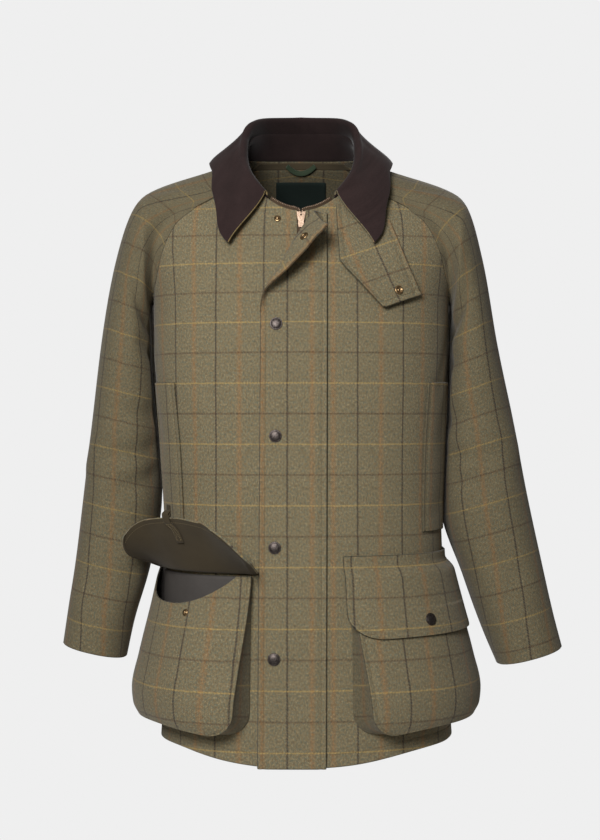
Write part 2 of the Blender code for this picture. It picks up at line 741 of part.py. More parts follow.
def zip_path(side):
    """Front edge of one front, up the zip and out along the neck to the collar's end."""
    heights = np.concatenate([
        np.linspace(TAPE_FOOT, -0.10, 14)[:-1],
        np.linspace(-0.10, NECK_HEIGHT - SEAM, 7),
    ])
    rise_q = q_at_x(FRONT_EDGE, heights)
    rise = body(rise_q, heights, side)
    end = float(q_at_x(COLLAR_FRONT_X - 0.003, np.array(NECK_HEIGHT)))
    neck_q = np.linspace(rise_q[-1], end, 6)[1:]
    neck = body(neck_q, np.full(5, NECK_HEIGHT - SEAM), side)
    towards = np.zeros_like(np.concatenate([rise, neck]))
    towards[:, 0] = -side
    count = len(rise)
    swing = ease(np.linspace(0.5, 1.0, 6))[1:]
    towards[count:, 0] = -side * (1 - swing) * 0.6
    towards[count:, 2] = 1.0
    towards[count - 1] = (-side * 0.85, 0.0, 0.55)
    path = np.concatenate([rise, neck])
    along = np.gradient(path, axis=0)
    towards = towards - unit(along) * (towards * unit(along)).sum(axis=1)[:, None]
    towards[count - 1] = (-side * 0.85, 0.0, 0.55)
    return path, unit(towards)


def zip_tape(name, side):
    """Zip tape beside the edge of one front."""
    path, towards = zip_path(side)
    inset = np.array([0.0, CLOTH * 0.4, 0.0])
    low = path + towards * SEAM + inset
    high = path + towards * TAPE_WIDTH + inset
    points = np.stack([low, high], axis=1)
    return sheet(name, points, TAPE_WALL, "zip_tape", flip=side > 0)


def zip_frame():
    """Place and directions of the slider: middle of its back, down the zip, and out."""
    middle, normal, _, _ = front(np.array(0.004), np.array(SLIDER_TOP - SLIDER_LENGTH / 2), 0.0)
    out = unit(np.array([0.0, normal[1], normal[2]]))
    down = np.array([0.0, -out[2], out[1]])
    top = np.array([0.0, middle[1], middle[2]]) - down * SLIDER_LENGTH / 2
    return top, down, out


def bail_points():
    """Pivot of the pull tab in front of the slider."""
    top, down, out = zip_frame()
    face = 0.0004 + SLIDER_DEPTH
    return top + down * 0.0035 + out * (face + 0.0013)


def zip_slider():
    """Slider body with the half ring that the pull hangs from, in one piece."""
    top, down, out = zip_frame()
    right = np.array([1.0, 0.0, 0.0])
    mesh = bpy.data.meshes.new("zip_slider")
    work = bmesh.new()
    face = 0.0004 + SLIDER_DEPTH
    pivot = bail_points()
    half = SLIDER_WIDTH / 2
    outline = ((-half, 0.0), (half, 0.0), (half * 0.72, SLIDER_LENGTH), (-half * 0.72, SLIDER_LENGTH))
    lower = [work.verts.new(top + right * x + down * l + out * 0.0004) for x, l in outline]
    upper = [work.verts.new(top + right * x * 0.9 + down * (l * 0.94 + 0.0004) + out * face)
             for x, l in outline]
    work.faces.new(lower)
    for k in range(4):
        n = (k + 1) % 4
        work.faces.new((lower[k], lower[n], upper[n], upper[k]))
    arc = np.linspace(0, math.pi, 9)
    level = face
    foot = (pivot - top) @ out - level
    tilt_out = math.asin(foot / BAIL_RADIUS)
    tilt_in = math.asin(min(foot / BAIL_BORE, 1.0))
    rims = []
    for sign in (-1, 1):
        x = right * sign * BAIL_WIDTH / 2
        outer = []
        inner = []
        for a in arc:
            s = -tilt_out + (math.pi + 2 * tilt_out) * a / math.pi
            outer.append(work.verts.new(pivot + x + BAIL_RADIUS * (down * math.cos(s) + out * math.sin(s))))
            s = -tilt_in + (math.pi + 2 * tilt_in) * a / math.pi
            inner.append(work.verts.new(pivot + x + BAIL_BORE * (down * math.cos(s) + out * math.sin(s))))
        rims.append((outer, inner))
    (outer_a, inner_a), (outer_b, inner_b) = rims
    for k in range(8):
        work.faces.new((outer_a[k], outer_a[k + 1], inner_a[k + 1], inner_a[k]))
        work.faces.new((outer_b[k], inner_b[k], inner_b[k + 1], outer_b[k + 1]))
        work.faces.new((outer_a[k], outer_b[k], outer_b[k + 1], outer_a[k + 1]))
        work.faces.new((inner_a[k], inner_a[k + 1], inner_b[k + 1], inner_b[k]))
    low_loop = (outer_a[0], inner_a[0], inner_b[0], outer_b[0])
    high_loop = (inner_a[8], outer_a[8], outer_b[8], inner_b[8])
    corner = upper
    work.faces.new((corner[0], corner[3], low_loop[0], low_loop[1]))
    work.faces.new((corner[0], low_loop[1], high_loop[0], high_loop[1]))
    work.faces.new((low_loop[1], low_loop[2], high_loop[3], high_loop[0]))
    work.faces.new((corner[1], high_loop[2], high_loop[3], low_loop[2]))
    work.faces.new((corner[1], low_loop[2], low_loop[3], corner[2]))
    work.faces.new((corner[2], low_loop[3], low_loop[0], corner[3]))
    work.faces.new((corner[0], high_loop[1], high_loop[2], corner[1]))
    bmesh.ops.triangulate(work, faces=[f for f in work.faces if len(f.verts) > 4])
    bmesh.ops.recalc_face_normals(work, faces=work.faces)
    work.to_mesh(mesh)
    work.free()
    return add_object("zip_slider", mesh, "copper")


def zip_pull_tab():
    """Pull tab: a plate with a window whose upper bar is the pivot inside the half ring."""
    pivot = bail_points()
    _, down, out = zip_frame()
    right = np.array([1.0, 0.0, 0.0])
    mesh = bpy.data.meshes.new("zip_pull_tab")
    work = bmesh.new()
    half = PULL_WIDTH / 2
    inner = BAIL_WIDTH / 2 + 0.0004
    bar = PIVOT_PIN
    window = BAIL_RADIUS + 0.0005
    outline = ((-half, -bar), (half, -bar), (half, window), (half, PULL_LENGTH * 0.84),
               (half * 0.7, PULL_LENGTH), (-half * 0.7, PULL_LENGTH), (-half, PULL_LENGTH * 0.84),
               (-half, window))
    hole = ((-inner, bar), (inner, bar), (inner, window), (-inner, window))
    wall = PULL_WALL / 2
    loops = {}
    for key, sign in (("back", -1), ("face", 1)):
        loops[key] = [work.verts.new(pivot + right * x + down * l + out * sign * wall) for x, l in outline]
        loops[key + "_hole"] = [work.verts.new(pivot + right * x + down * l + out * sign * wall)
                                for x, l in hole]
    for key in ("back", "face"):
        o = loops[key]
        h = loops[key + "_hole"]
        work.faces.new((o[0], o[1], h[1], h[0]))
        work.faces.new((o[1], o[2], h[2], h[1]))
        work.faces.new((o[7], o[0], h[0], h[3]))
        work.faces.new((h[3], h[2], o[2], o[3], o[4], o[5], o[6], o[7]))
    count = len(outline)
    for k in range(count):
        n = (k + 1) % count
        work.faces.new((loops["back"][k], loops["back"][n], loops["face"][n], loops["face"][k]))
    for k in range(4):
        n = (k + 1) % 4
        work.faces.new((loops["back_hole"][k], loops["face_hole"][k],
                        loops["face_hole"][n], loops["back_hole"][n]))
    bmesh.ops.triangulate(work, faces=[f for f in work.faces if len(f.verts) > 4])
    bmesh.ops.recalc_face_normals(work, faces=work.faces)
    work.transform(Matrix.Translation(-Vector(pivot)))
    work.to_mesh(mesh)
    work.free()
    item = add_object("zip_pull_tab", mesh, "copper")
    item.location = pivot
    return item


# Press studs

CAP_PROFILE = ((0.0, 0.0), (CAP_RADIUS, 0.0), (CAP_RADIUS, CAP_HEIGHT * 0.45),
               (CAP_RADIUS * 0.8, CAP_HEIGHT * 0.85), (0.0, CAP_HEIGHT))
RING_PROFILE = ((RING_BORE, 0.0), (RING_RADIUS, 0.0), (RING_RADIUS * 0.85, 0.0018),
                (RING_BORE * 1.2, 0.0018))
STUD_PROFILE = ((0.0, 0.0), (STUD_RADIUS, 0.0), (STUD_RADIUS, 0.0008), (STUD_RADIUS * 0.5, 0.0012),
                (STUD_RADIUS * 0.5, 0.0026), (0.0, 0.0034))


def placket_snaps():
    """The four caps down the placket."""
    for number, level in enumerate(SNAP_HEIGHTS, start=1):
        down = (PLACKET_TOP - level) / (PLACKET_TOP - PLACKET_BOTTOM)
        x = PLACKET_EDGE_X - PLACKET_LEAN * down + SNAP_INSET
        spot, normal, _, _ = front(np.array(x), np.array(level), DOUBLE + BODY_SEAT + SEAT)
        turned(f"placket_snap_{number}", CAP_PROFILE, spot, normal, "snap_metal")


def top_studs():
    """Socket on the rolled back corner of the placket and the stud on the right front."""
    share, level = 0.77, PLACKET_TOP - 0.030
    step = 0.01
    spot = placket_points(np.array([share]), np.array([level]))[0, 0]
    across = placket_points(np.array([share + step]), np.array([level]))[0, 0] - spot
    up = placket_points(np.array([share]), np.array([level + 0.002]))[0, 0] - spot
    under = unit(np.cross(across, up))
    turned("placket_socket", RING_PROFILE, spot + under * (DOUBLE + SEAT), under, "brass")
    spot, normal, _, _ = front(np.array(-0.0320), np.array(-0.0760), SEAT)
    turned("front_stud", STUD_PROFILE, spot, normal, "brass")


# Throat tab

def tab_points(across, down):
    """The throat tab, lying a little off the left front."""
    top_a, top_b = (np.array(p) for p in TAB_TOP)
    end_a, end_b = (np.array(p) for p in TAB_END)
    point = np.array(TAB_POINT)
    v, u = np.meshgrid(down, across, indexing="ij")
    u2 = u[..., None]
    v2 = v[..., None]
    top = top_a + (top_b - top_a) * u2
    turn = 0.45
    low_a = end_a + (point - end_a) * np.clip(u2 / turn, 0, 1)
    low = np.where(u2 < turn, low_a, point + (end_b - point) * np.clip((u2 - turn) / (1 - turn), 0, 1))
    flat = top + (low - top) * v2
    off = BODY_SEAT + DOUBLE + TAB_OFF * v * v
    return front(flat[..., 0], flat[..., 1], off)[0]


def throat_tab():
    """Throat tab with its socket."""
    points = tab_points(np.linspace(0, 1, 8), np.linspace(0, 1, 7))
    sheet("throat_tab", points, DOUBLE, "tweed", flip=True)
    spot = tab_points(np.array([0.72, 0.74]), np.array([0.88, 0.90]))
    normal = unit(np.cross(spot[0, 1] - spot[0, 0], spot[0, 0] - spot[1, 0]))
    turned("throat_socket", RING_PROFILE, spot[0, 0] + normal * SEAT, normal, "brass")


# Bellows pockets

def bulge(down):
    """How far the pocket front stands off the body."""
    return smooth(down, column(BULGE, BULGE_COLUMNS, "down"), column(BULGE, BULGE_COLUMNS, "off"))


def corner_inset(down, length, corner):
    """How much a rounded lower corner takes off each side, in metres."""
    into = np.clip((down - (1 - corner / length)) * length / corner, 0, 1)
    return corner * (1 - np.sqrt(np.maximum(1 - into * into, 0.0)))


POCKET_LENGTH = POCKET_TOP - POCKET_BOTTOM
POCKET_WIDTH = 0.225


def pocket_place(u, v, narrow):
    """Ring place and height of a pocket point; the bellows front narrows towards its foot."""
    inset = corner_inset(v, POCKET_LENGTH, POCKET_CORNER) / POCKET_WIDTH
    share = inset + (1 - 2 * inset) * u
    squeeze = narrow * ease(v)
    share = share * (1 - squeeze) + 0.5 * squeeze
    q = POCKET_Q[0] + (POCKET_Q[1] - POCKET_Q[0]) * share
    return q, POCKET_TOP - POCKET_LENGTH * v


def pocket_front(u, v, side, extra=0.0):
    """Outer face of the pocket front."""
    q, height = pocket_place(u, v, POCKET_NARROW)
    return off_body(q, height, side, CLOTH + bulge(v) + extra)


def scoop(u):
    """Top edge of the pocket front, dipped in the middle."""
    low, high = SCOOP_SPAN
    t = np.clip((u - low) / (high - low), 0, 1)
    return SCOOP_DEPTH / POCKET_LENGTH * (1 - np.abs(2 * t - 1) ** 2.6)


def bellows_pocket(prefix, side):
    """Front and gusset of one bellows pocket."""
    down = np.array(POCKET_ROWS)
    run = np.linspace(0, 1, 11)
    v, u = np.meshgrid(down, run, indexing="ij")
    v = scoop(u) + (1 - scoop(u)) * v
    sheet(prefix + "_front", pocket_front(u, v, side), CLOTH, "tweed", flip=side > 0)
    edge_u = np.concatenate([np.zeros(len(down)), run[1:-1], np.ones(len(down))])
    edge_v = np.concatenate([down, np.ones(len(run) - 2), down[::-1]])
    q, height = pocket_place(edge_u, edge_v, POCKET_NARROW)
    top = off_body(q, height, side, bulge(edge_v) - BODY_SEAT)
    q, height = pocket_place(edge_u, edge_v, 0.0)
    foot = off_body(q, height, side, np.full_like(edge_v, GUSSET_FOOT))
    q, height = pocket_place(np.full_like(edge_u, 0.5), np.minimum(edge_v, 0.8), 0.0)
    middle = off_body(q, height, side, 0.5 * bulge(edge_v))
    fold = 0.5 * (foot + top) + GUSSET_SAG * bulge(edge_v)[:, None] * unit(middle - 0.5 * (foot + top))
    rows = []
    for t in np.linspace(0, 1, 4):
        rows.append((1 - t) ** 2 * foot + 2 * t * (1 - t) * fold + t * t * top)
    sheet(prefix + "_gusset", np.array(rows), CLOTH, "tweed", flip=side < 0)


def flap_place(u, v, reach):
    """Ring place of a flap point with rounded lower corners."""
    inset = corner_inset(v, FLAP_DROP, FLAP_CORNER) / FLAP_WIDTH
    share = inset + (1 - 2 * inset) * u
    return FLAP_START_Q + (reach - FLAP_START_Q) * share


def flap_off(height):
    """How far the closed flap stands off the body: on it at the band, then over the pocket."""
    into = np.clip((POCKET_TOP - height) / POCKET_LENGTH, 0, 1)
    over = ease((FLAP_TOP - BAND * 0.6 - height) / 0.020)
    return BODY_SEAT + DOUBLE + over * (bulge(into) + CLOTH + FLAP_CLEAR)


def closed_flap():
    """Left pocket flap, down over the pocket, with its cap."""
    v, u = np.meshgrid(np.array(FLAP_ROWS), np.linspace(0, 1, 13), indexing="ij")
    height = FLAP_TOP - FLAP_DROP * v
    points = off_body(flap_place(u, v, FLAP_END_Q), height, LEFT, flap_off(height))
    sheet("left_pocket_flap", points, DOUBLE, "tweed", flip=True)
    q = flap_place(np.array(CAP_SPOT[0]), np.array(CAP_SPOT[1]), FLAP_END_Q)
    level = np.array(FLAP_TOP - FLAP_DROP * CAP_SPOT[1])
    spot = off_body(q, level, LEFT, flap_off(level) + SEAT)
    up = off_body(q, level + 0.002, LEFT, flap_off(level + 0.002) + SEAT) - spot
    ahead = off_body(q + 0.01, level, LEFT, flap_off(level) + SEAT) - spot
    turned("left_pocket_snap", CAP_PROFILE, spot, np.cross(ahead, up), "snap_metal")


def lifted_points(across, run):
    """Right pocket flap turned up: run is the distance down the flap from its top edge."""
    r, u = np.meshgrid(run, across, indexing="ij")
    q = flap_place(u, r / FLAP_DROP, LIFT_END_Q)
    hinge = FLAP_TOP - BAND
    normal = body_normal(q, np.full_like(q, hinge), RIGHT)
    forward = np.array(LIFT_HEADING)
    share = (q - FLAP_START_Q) / (LIFT_END_Q - FLAP_START_Q)
    lean = LIFT_FORWARD * ease((share - LIFT_LEAN_START) / (1 - LIFT_LEAN_START))[..., None]
    out = unit(normal * (1 - lean) + forward * lean)
    places, degrees = np.array(LIFT_TURNS, dtype=float).T
    turn_end = np.radians(smooth(share, places, degrees))
    d = np.maximum(r - BAND, 0.0)
    bend = np.minimum(d / LIFT_ROLL, turn_end)
    rest = np.maximum(d - LIFT_ROLL * turn_end, 0.0)
    fall = LIFT_ROLL * np.sin(bend) + rest * np.cos(turn_end)
    away = LIFT_ROLL * (1 - np.cos(bend)) + rest * np.sin(turn_end)
    base = off_body(q, np.maximum(FLAP_TOP - r, hinge), RIGHT, np.full_like(q, DOUBLE + BODY_SEAT))
    return base + out * away[..., None] - fall[..., None] * np.array([0.0, 0.0, 1.0])


def lifted_flap():
    """Right pocket flap, turned up."""
    roll_end = BAND + LIFT_ROLL * LIFT_TURN
    run = np.concatenate([
        [0.0, BAND],
        BAND + LIFT_ROLL * LIFT_TURN * np.array([0.33, 0.67, 1.0]),
        roll_end + (FLAP_DROP - roll_end) * np.array([0.3, 0.55, 0.75, 0.88, 0.96, 1.0]),
    ])
    points = lifted_points(np.linspace(0, 1, 13), run)
    sheet("right_pocket_flap", points, DOUBLE, "tweed")


def hold_strap():
    """Strap from the under face of the lifted flap, over its edge and back to the coat."""
    share = np.array([STRAP_SHARE, STRAP_SHARE + 0.02])
    flap = lifted_points(share, FLAP_DROP - STRAP_HOLD * np.array([1.0, 0.5, 0.0]))
    across = unit(flap[0, 1] - flap[0, 0])
    along = unit(flap[1, 0] - flap[0, 0])
    under = unit(np.cross(across, along))
    if under[1] > 0:
        under = -under
    below = under * (DOUBLE + STRAP_WALL + BODY_SEAT)
    tip = flap[2, 0]
    path = [flap[0, 0] + below, flap[1, 0] + below, tip - along * 0.002 + 1.25 * below]
    path.append(tip + along * 0.0075 + under * 0.0040)
    path.append(tip + along * 0.0085 - under * 0.0050)
    start_q, start_h = front_place(np.array(STRAP_TOP[0]), np.array(STRAP_TOP[1]))
    for drop, clear in STRAP_LANDING:
        off = np.array(CLOTH + STRAP_WALL + 2 * BODY_SEAT + clear)
        path.append(off_body(start_q, start_h - drop, RIGHT, off))
    path = np.array(path)
    body_across = body(start_q + 0.02, start_h, RIGHT) - body(start_q - 0.02, start_h, RIGHT)
    swing = np.linspace(0, 1, len(path))[:, None] ** 2
    wide = unit(across * (1 - swing) + unit(body_across) * swing) * STRAP_WIDTH / 2
    points = np.stack([path - wide, path + wide], axis=1)
    sheet("right_flap_strap", points, STRAP_WALL, "olive_cloth", flip=True)


def pocket_trim():
    """Lining inside the open pocket and the stud on its front."""
    v, u = np.meshgrid(np.linspace(0.0, 0.86, 6), np.linspace(0.05, 0.95, 13), indexing="ij")
    q, height = pocket_place(u, v, 0.0)
    points = off_body(q, height, RIGHT, np.full_like(q, FACING_WALL + BODY_SEAT))
    sheet("right_pocket_lining", points, FACING_WALL, "pocket_nylon", flip=False)
    u0, v0 = (np.array(share) for share in STUD_SPOT)
    place = pocket_front(u0, v0, RIGHT, SEAT)
    across = pocket_front(u0 + 0.01, v0, RIGHT, SEAT) - place
    down = pocket_front(u0, v0 + 0.01, RIGHT, SEAT) - place
    turned("right_pocket_stud", STUD_PROFILE, place, np.cross(across, down), "brass")


# Hand-warmer welts

def welt(name, side):
    """Upright welt beside the side seam, on the grid lines of its front."""
    heights = panel_heights()
    low = np.searchsorted(heights, WELT_HEIGHTS[0])
    high = np.searchsorted(heights, WELT_HEIGHTS[1])
    levels = np.concatenate([[WELT_HEIGHTS[0]], heights[low:high], [WELT_HEIGHTS[1]]])
    rows = []
    for height in levels:
        q = panel_row(height, False)[-WELT_STEPS - 2:-1]
        rows.append(off_body(q, np.full_like(q, height), side, np.full_like(q, CLOTH + BODY_SEAT)))
    return sheet(name, np.array(rows), CLOTH, "tweed", flip=side < 0)


# Inside the back of the neck

def loop_path():
    """Hanger loop below the neck seam at the centre back."""
    spots = []
    depth = CLOTH + FACING_WALL + LOOP_RADIUS + 2 * SEAT
    for s in np.linspace(-1, 1, 8):
        side = LEFT if s > 0 else RIGHT
        height = np.array(NECK_HEIGHT - 0.004 - LOOP_SAG * (1 - s * s))
        q = q_at_x(np.abs(s) * LOOP_HALF, height, True)
        spots.append(off_body(np.array(q), height, side, np.array(-depth)))
    return spots


def neck_inside():
    """Neck band, back facing, bare label and hanger loop."""
    heights = panel_heights()
    depth = CLOTH + FACING_WALL + SEAT
    band = back_rows([heights[-2] + SEAM, heights[-1] - 0.001], BACK_STEPS - 2, depth)
    sheet("neck_band", band, FACING_WALL, "olive_cloth")
    facing = back_rows([heights[-5], heights[-4], heights[-3], heights[-2] - SEAM], BACK_STEPS - 3, depth)
    sheet("back_facing", facing, FACING_WALL, "tweed")
    rows = []
    for height in np.linspace(LABEL_HEIGHTS[0], LABEL_HEIGHTS[1], 4):
        x = np.linspace(-LABEL_HALF, LABEL_HALF, 7)
        q = q_at_x(x, np.full_like(x, height), True)
        side = np.where(x < 0, RIGHT, LEFT)
        move = np.full_like(x, -(depth + FACING_WALL + BODY_SEAT))
        rows.append(body(q, np.full_like(q, height), side)
                    + move[:, None] * label_normal(q, height, side))
    sheet("label", np.array(rows), FACING_WALL, "label_cloth")
    tube("hanger_loop", loop_path(), LOOP_RADIUS, "loop_cord")


def label_normal(q, height, side):
    """Outward direction of the back at both sides of its centre."""
    right = body_normal(q, np.full_like(q, height), RIGHT)
    left = body_normal(q, np.full_like(q, height), LEFT)
    return np.where((side < 0)[:, None], right, left)


def build():
    """The whole coat."""
    drop_old_objects()
    front_panel("right_front", RIGHT)
    front_panel("left_front", LEFT)
    back_panel()
    for prefix, table, side in (("right", SLEEVE_RIGHT, RIGHT), ("left", SLEEVE_LEFT, LEFT)):
        sleeve_half(prefix + "_sleeve_front", table, side, False)
        sleeve_half(prefix + "_sleeve_back", table, side, True)
    collar_stand()
    collar_leaf()
    placket()
    zip_tape("right_zip_tape", RIGHT)
    zip_tape("left_zip_tape", LEFT)
    zip_slider()
    zip_pull_tab()
    placket_snaps()
    top_studs()
    throat_tab()
    bellows_pocket("right_pocket", RIGHT)
    bellows_pocket("left_pocket", LEFT)
    closed_flap()
    lifted_flap()
    hold_strap()
    pocket_trim()
    welt("right_welt", RIGHT)
    welt("left_welt", LEFT)
    neck_inside()


build()
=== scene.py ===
"""Looks of the shooting coat: tweed, sewing, zip, press studs, stage and camera."""
import math

import bmesh
import bpy
import numpy as np
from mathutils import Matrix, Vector


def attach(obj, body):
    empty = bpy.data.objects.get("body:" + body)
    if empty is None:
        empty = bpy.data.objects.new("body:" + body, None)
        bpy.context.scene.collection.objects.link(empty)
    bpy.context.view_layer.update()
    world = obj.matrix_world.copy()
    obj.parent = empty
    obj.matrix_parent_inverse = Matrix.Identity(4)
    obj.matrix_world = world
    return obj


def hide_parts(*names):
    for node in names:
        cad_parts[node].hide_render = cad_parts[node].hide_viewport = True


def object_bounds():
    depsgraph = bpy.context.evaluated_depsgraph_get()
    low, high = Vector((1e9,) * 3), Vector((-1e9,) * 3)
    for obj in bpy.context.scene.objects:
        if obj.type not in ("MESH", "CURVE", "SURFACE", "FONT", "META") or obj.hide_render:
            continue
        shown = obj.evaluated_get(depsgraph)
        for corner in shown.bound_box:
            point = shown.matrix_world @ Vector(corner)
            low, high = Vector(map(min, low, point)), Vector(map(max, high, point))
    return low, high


bl_info = {
    "name": "Shooting coat",
    "version": (1, 0, 0),
    "blender": (4, 5, 0),
    "location": "View3D > Sidebar > Coat",
    "description": "Dresses the coat's solids in checked tweed, with its sewing, zip and studs",
    "category": "Object",
}

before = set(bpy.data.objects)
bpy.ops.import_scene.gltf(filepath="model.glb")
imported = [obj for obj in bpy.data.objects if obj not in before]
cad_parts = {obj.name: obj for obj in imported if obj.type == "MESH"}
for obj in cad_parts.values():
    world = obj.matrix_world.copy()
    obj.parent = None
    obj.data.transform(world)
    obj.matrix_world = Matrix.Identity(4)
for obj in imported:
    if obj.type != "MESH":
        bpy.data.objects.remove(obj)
CAD_BOX = [list(corner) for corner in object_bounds()]

# Cloth walls and seams
CLOTH = 0.0020
DOUBLE = 0.0028
COLLAR_WALL = 0.0024
FACING_WALL = 0.0012
SEAM = 0.0003
SEAT = 0.0004
BODY_SEAT = 0.0009

# Body of the coat
NECK_HEIGHT = 0.018
HEM_HEIGHT = -0.787
UNDERARM_HEIGHT = -0.185
FRONT_EDGE = 0.0058
NECK_SIDE_Q = 1.06
RAGLAN_STEPS = 9
FRONT_STEPS = 12
TILT_POWER = 1.4
HEM_TILT_POWER = 5.0
HEM_TILT_START = -0.50
HEM_TILT_RUN = 0.25
SEAM_TRIM = 0.0005
NECK_TRIM_Q = 0.005
SLEEVE_TRIM = 0.006
SLEEVE_CLEAR = 0.0055
CAP_SHARE = 0.22
CAP_STEP = 0.014
CAP_SPAN = (0.27, 0.62)

# Rings of the body from hem to neck: height is taken at the side seam
RING_COLUMNS = ("height", "half_width", "front", "back", "squareness", "front_drop", "back_lift", "sway")
BODY_RINGS = (
    (-0.787, 0.2040, 0.167, 0.152, 2.50, 0.022, 0.000, 0.008),
    (-0.650, 0.1990, 0.163, 0.146, 2.50, 0.004, 0.000, 0.007),
    (-0.500, 0.1930, 0.158, 0.136, 2.45, 0.001, 0.000, 0.004),
    (-0.400, 0.1970, 0.154, 0.132, 2.40, 0.000, 0.000, 0.002),
    (-0.270, 0.2060, 0.150, 0.141, 2.48, 0.003, 0.000, 0.000),
    (-0.185, 0.2070, 0.141, 0.140, 2.42, 0.014, 0.000, 0.000),
    (-0.130, 0.2190, 0.132, 0.132, 2.28, 0.027, 0.000, 0.000),
    (-0.090, 0.2280, 0.123, 0.122, 2.20, 0.042, 0.002, 0.000),
    (-0.055, 0.2240, 0.113, 0.108, 2.15, 0.058, 0.003, 0.000),
    (-0.030, 0.2050, 0.105, 0.093, 2.10, 0.069, 0.004, 0.000),
    (-0.008, 0.1500, 0.099, 0.077, 2.05, 0.077, 0.005, 0.000),
    (0.006, 0.1120, 0.096, 0.068, 2.00, 0.081, 0.005, 0.000),
    (0.018, 0.0820, 0.094, 0.062, 2.00, 0.083, 0.005, 0.000),
)

# Raglan seams: distance out from the middle at each ring height
RAGLAN_COLUMNS = ("height", "front_x", "back_x")
RAGLAN = (
    (-0.185, 0.2070, 0.2070),
    (-0.140, 0.1990, 0.2010),
    (-0.078, 0.1830, 0.1800),
    (-0.047, 0.1710, 0.1640),
    (-0.025, 0.1520, 0.1450),
    (-0.010, 0.1250, 0.1180),
    (0.006, 0.0960, 0.0890),
    (0.018, 0.0775, 0.0690),
)

# Sleeve rings from armhole to cuff: outer and inner edge, front and back depth
SLEEVE_COLUMNS = ("outer_x", "outer_z", "inner_x", "inner_z", "front_y", "back_y", "squareness", "gather")
SLEEVE_RIGHT = (
    (0.2215, -0.036, 0.2110, -0.192, -0.084, 0.094, 2.2, 1.75),
    (0.2590, -0.118, 0.2070, -0.222, -0.074, 0.106, 2.2, 1.40),
    (0.2820, -0.240, 0.2010, -0.270, -0.067, 0.114, 2.3, 1.15),
    (0.2950, -0.350, 0.1960, -0.370, -0.066, 0.112, 2.4, 1.00),
    (0.3065, -0.450, 0.1980, -0.465, -0.062, 0.098, 2.4, 1.00),
    (0.3170, -0.545, 0.2140, -0.558, -0.064, 0.080, 2.4, 1.00),
    (0.3260, -0.615, 0.2345, -0.632, -0.078, 0.058, 2.3, 1.00),
    (0.3320, -0.659, 0.2440, -0.679, -0.078, 0.044, 2.2, 1.00),
)
SLEEVE_LEFT = (
    (0.2240, -0.038, 0.2110, -0.192, -0.084, 0.094, 2.2, 1.75),
    (0.2550, -0.120, 0.2070, -0.222, -0.074, 0.106, 2.2, 1.40),
    (0.2770, -0.240, 0.2010, -0.270, -0.067, 0.114, 2.3, 1.15),
    (0.3000, -0.350, 0.1960, -0.370, -0.066, 0.112, 2.4, 1.00),
    (0.3180, -0.450, 0.1980, -0.470, -0.070, 0.098, 2.4, 1.00),
    (0.3370, -0.545, 0.2290, -0.570, -0.076, 0.078, 2.4, 1.00),
    (0.3530, -0.620, 0.2560, -0.646, -0.078, 0.058, 2.3, 1.00),
    (0.3640, -0.664, 0.2740, -0.689, -0.078, 0.044, 2.2, 1.00),
)

# Collar: roll line above the neck seam and the fall of the leaf's outer edge
COLLAR_FRONT_X = 0.0455
COLLAR_COLUMNS = ("along", "roll_in", "roll_z", "edge_q", "edge_height", "edge_off")
COLLAR = (
    (0.00, 0.000, -0.036, 0.260, -0.071, 0.0110),
    (0.10, 0.000, -0.014, 0.385, -0.024, 0.0110),
    (0.22, 0.003, 0.012, 0.600, -0.007, 0.0110),
    (0.36, 0.008, 0.046, 0.850, 0.001, 0.0100),
    (0.55, 0.011, 0.074, 1.150, 0.001, 0.0090),
    (0.78, 0.005, 0.085, 1.560, -0.005, 0.0090),
    (1.00, 0.001, 0.088, 2.000, -0.010, 0.0090),
)
ROLL_RADIUS = 0.0062
STAND_SHARE = 0.62
STAND_GAP = 0.0006
STAND_LEAN = (0.0, 0.6, 1.0, 1.0)
STAND_LEVELS = (0.0, 0.45, 0.75, 1.0)
ROLL_SHARE = 0.46
# Painted shade on the collar's inside: the stand's cut is shifted by this, so all of the stand lies before
# the cut's start and is darker
PAINTED_SHADE_START = 0.06

# Storm placket over the zip
PLACKET_SEAM_X = 0.0345
PLACKET_EDGE_X = -0.0520
PLACKET_LEAN = 0.0045
PLACKET_TOP = -0.0700
PLACKET_BOTTOM = -0.8095
ROLL_TOP_X = 0.0320
ROLL_END_Z = -0.2120
PLACKET_ROLL = 0.0105
PLACKET_TURN = math.radians(140)
SNAP_INSET = 0.0200
SOCKET_SHARE = 0.77
SOCKET_DROP = 0.030
FRONT_STUD_SPOT = (-0.0320, -0.0760)
SNAP_HEIGHTS = (-0.2220, -0.3710, -0.5190, -0.6660)

# Zip
TAPE_WIDTH = 0.0052
TAPE_WALL = 0.0011
TAPE_FOOT = -0.7780
TOOTH_PITCH = 0.0026
TOOTH_START = 0.004

# Press studs
CAP_RADIUS = 0.0085
RING_RADIUS = 0.0062
STUD_RADIUS = 0.0048

# Throat tab on the left front, corners as distance out and height
TAB_TOP = ((0.0480, -0.0560), (0.1200, -0.0780))
TAB_END = ((0.0520, -0.1390), (0.1570, -0.1810))
TAB_POINT = (0.1080, -0.2000)
TAB_OFF = 0.0066
TAB_TURN = 0.45
TAB_SOCKET_SPOT = (0.72, 0.88)

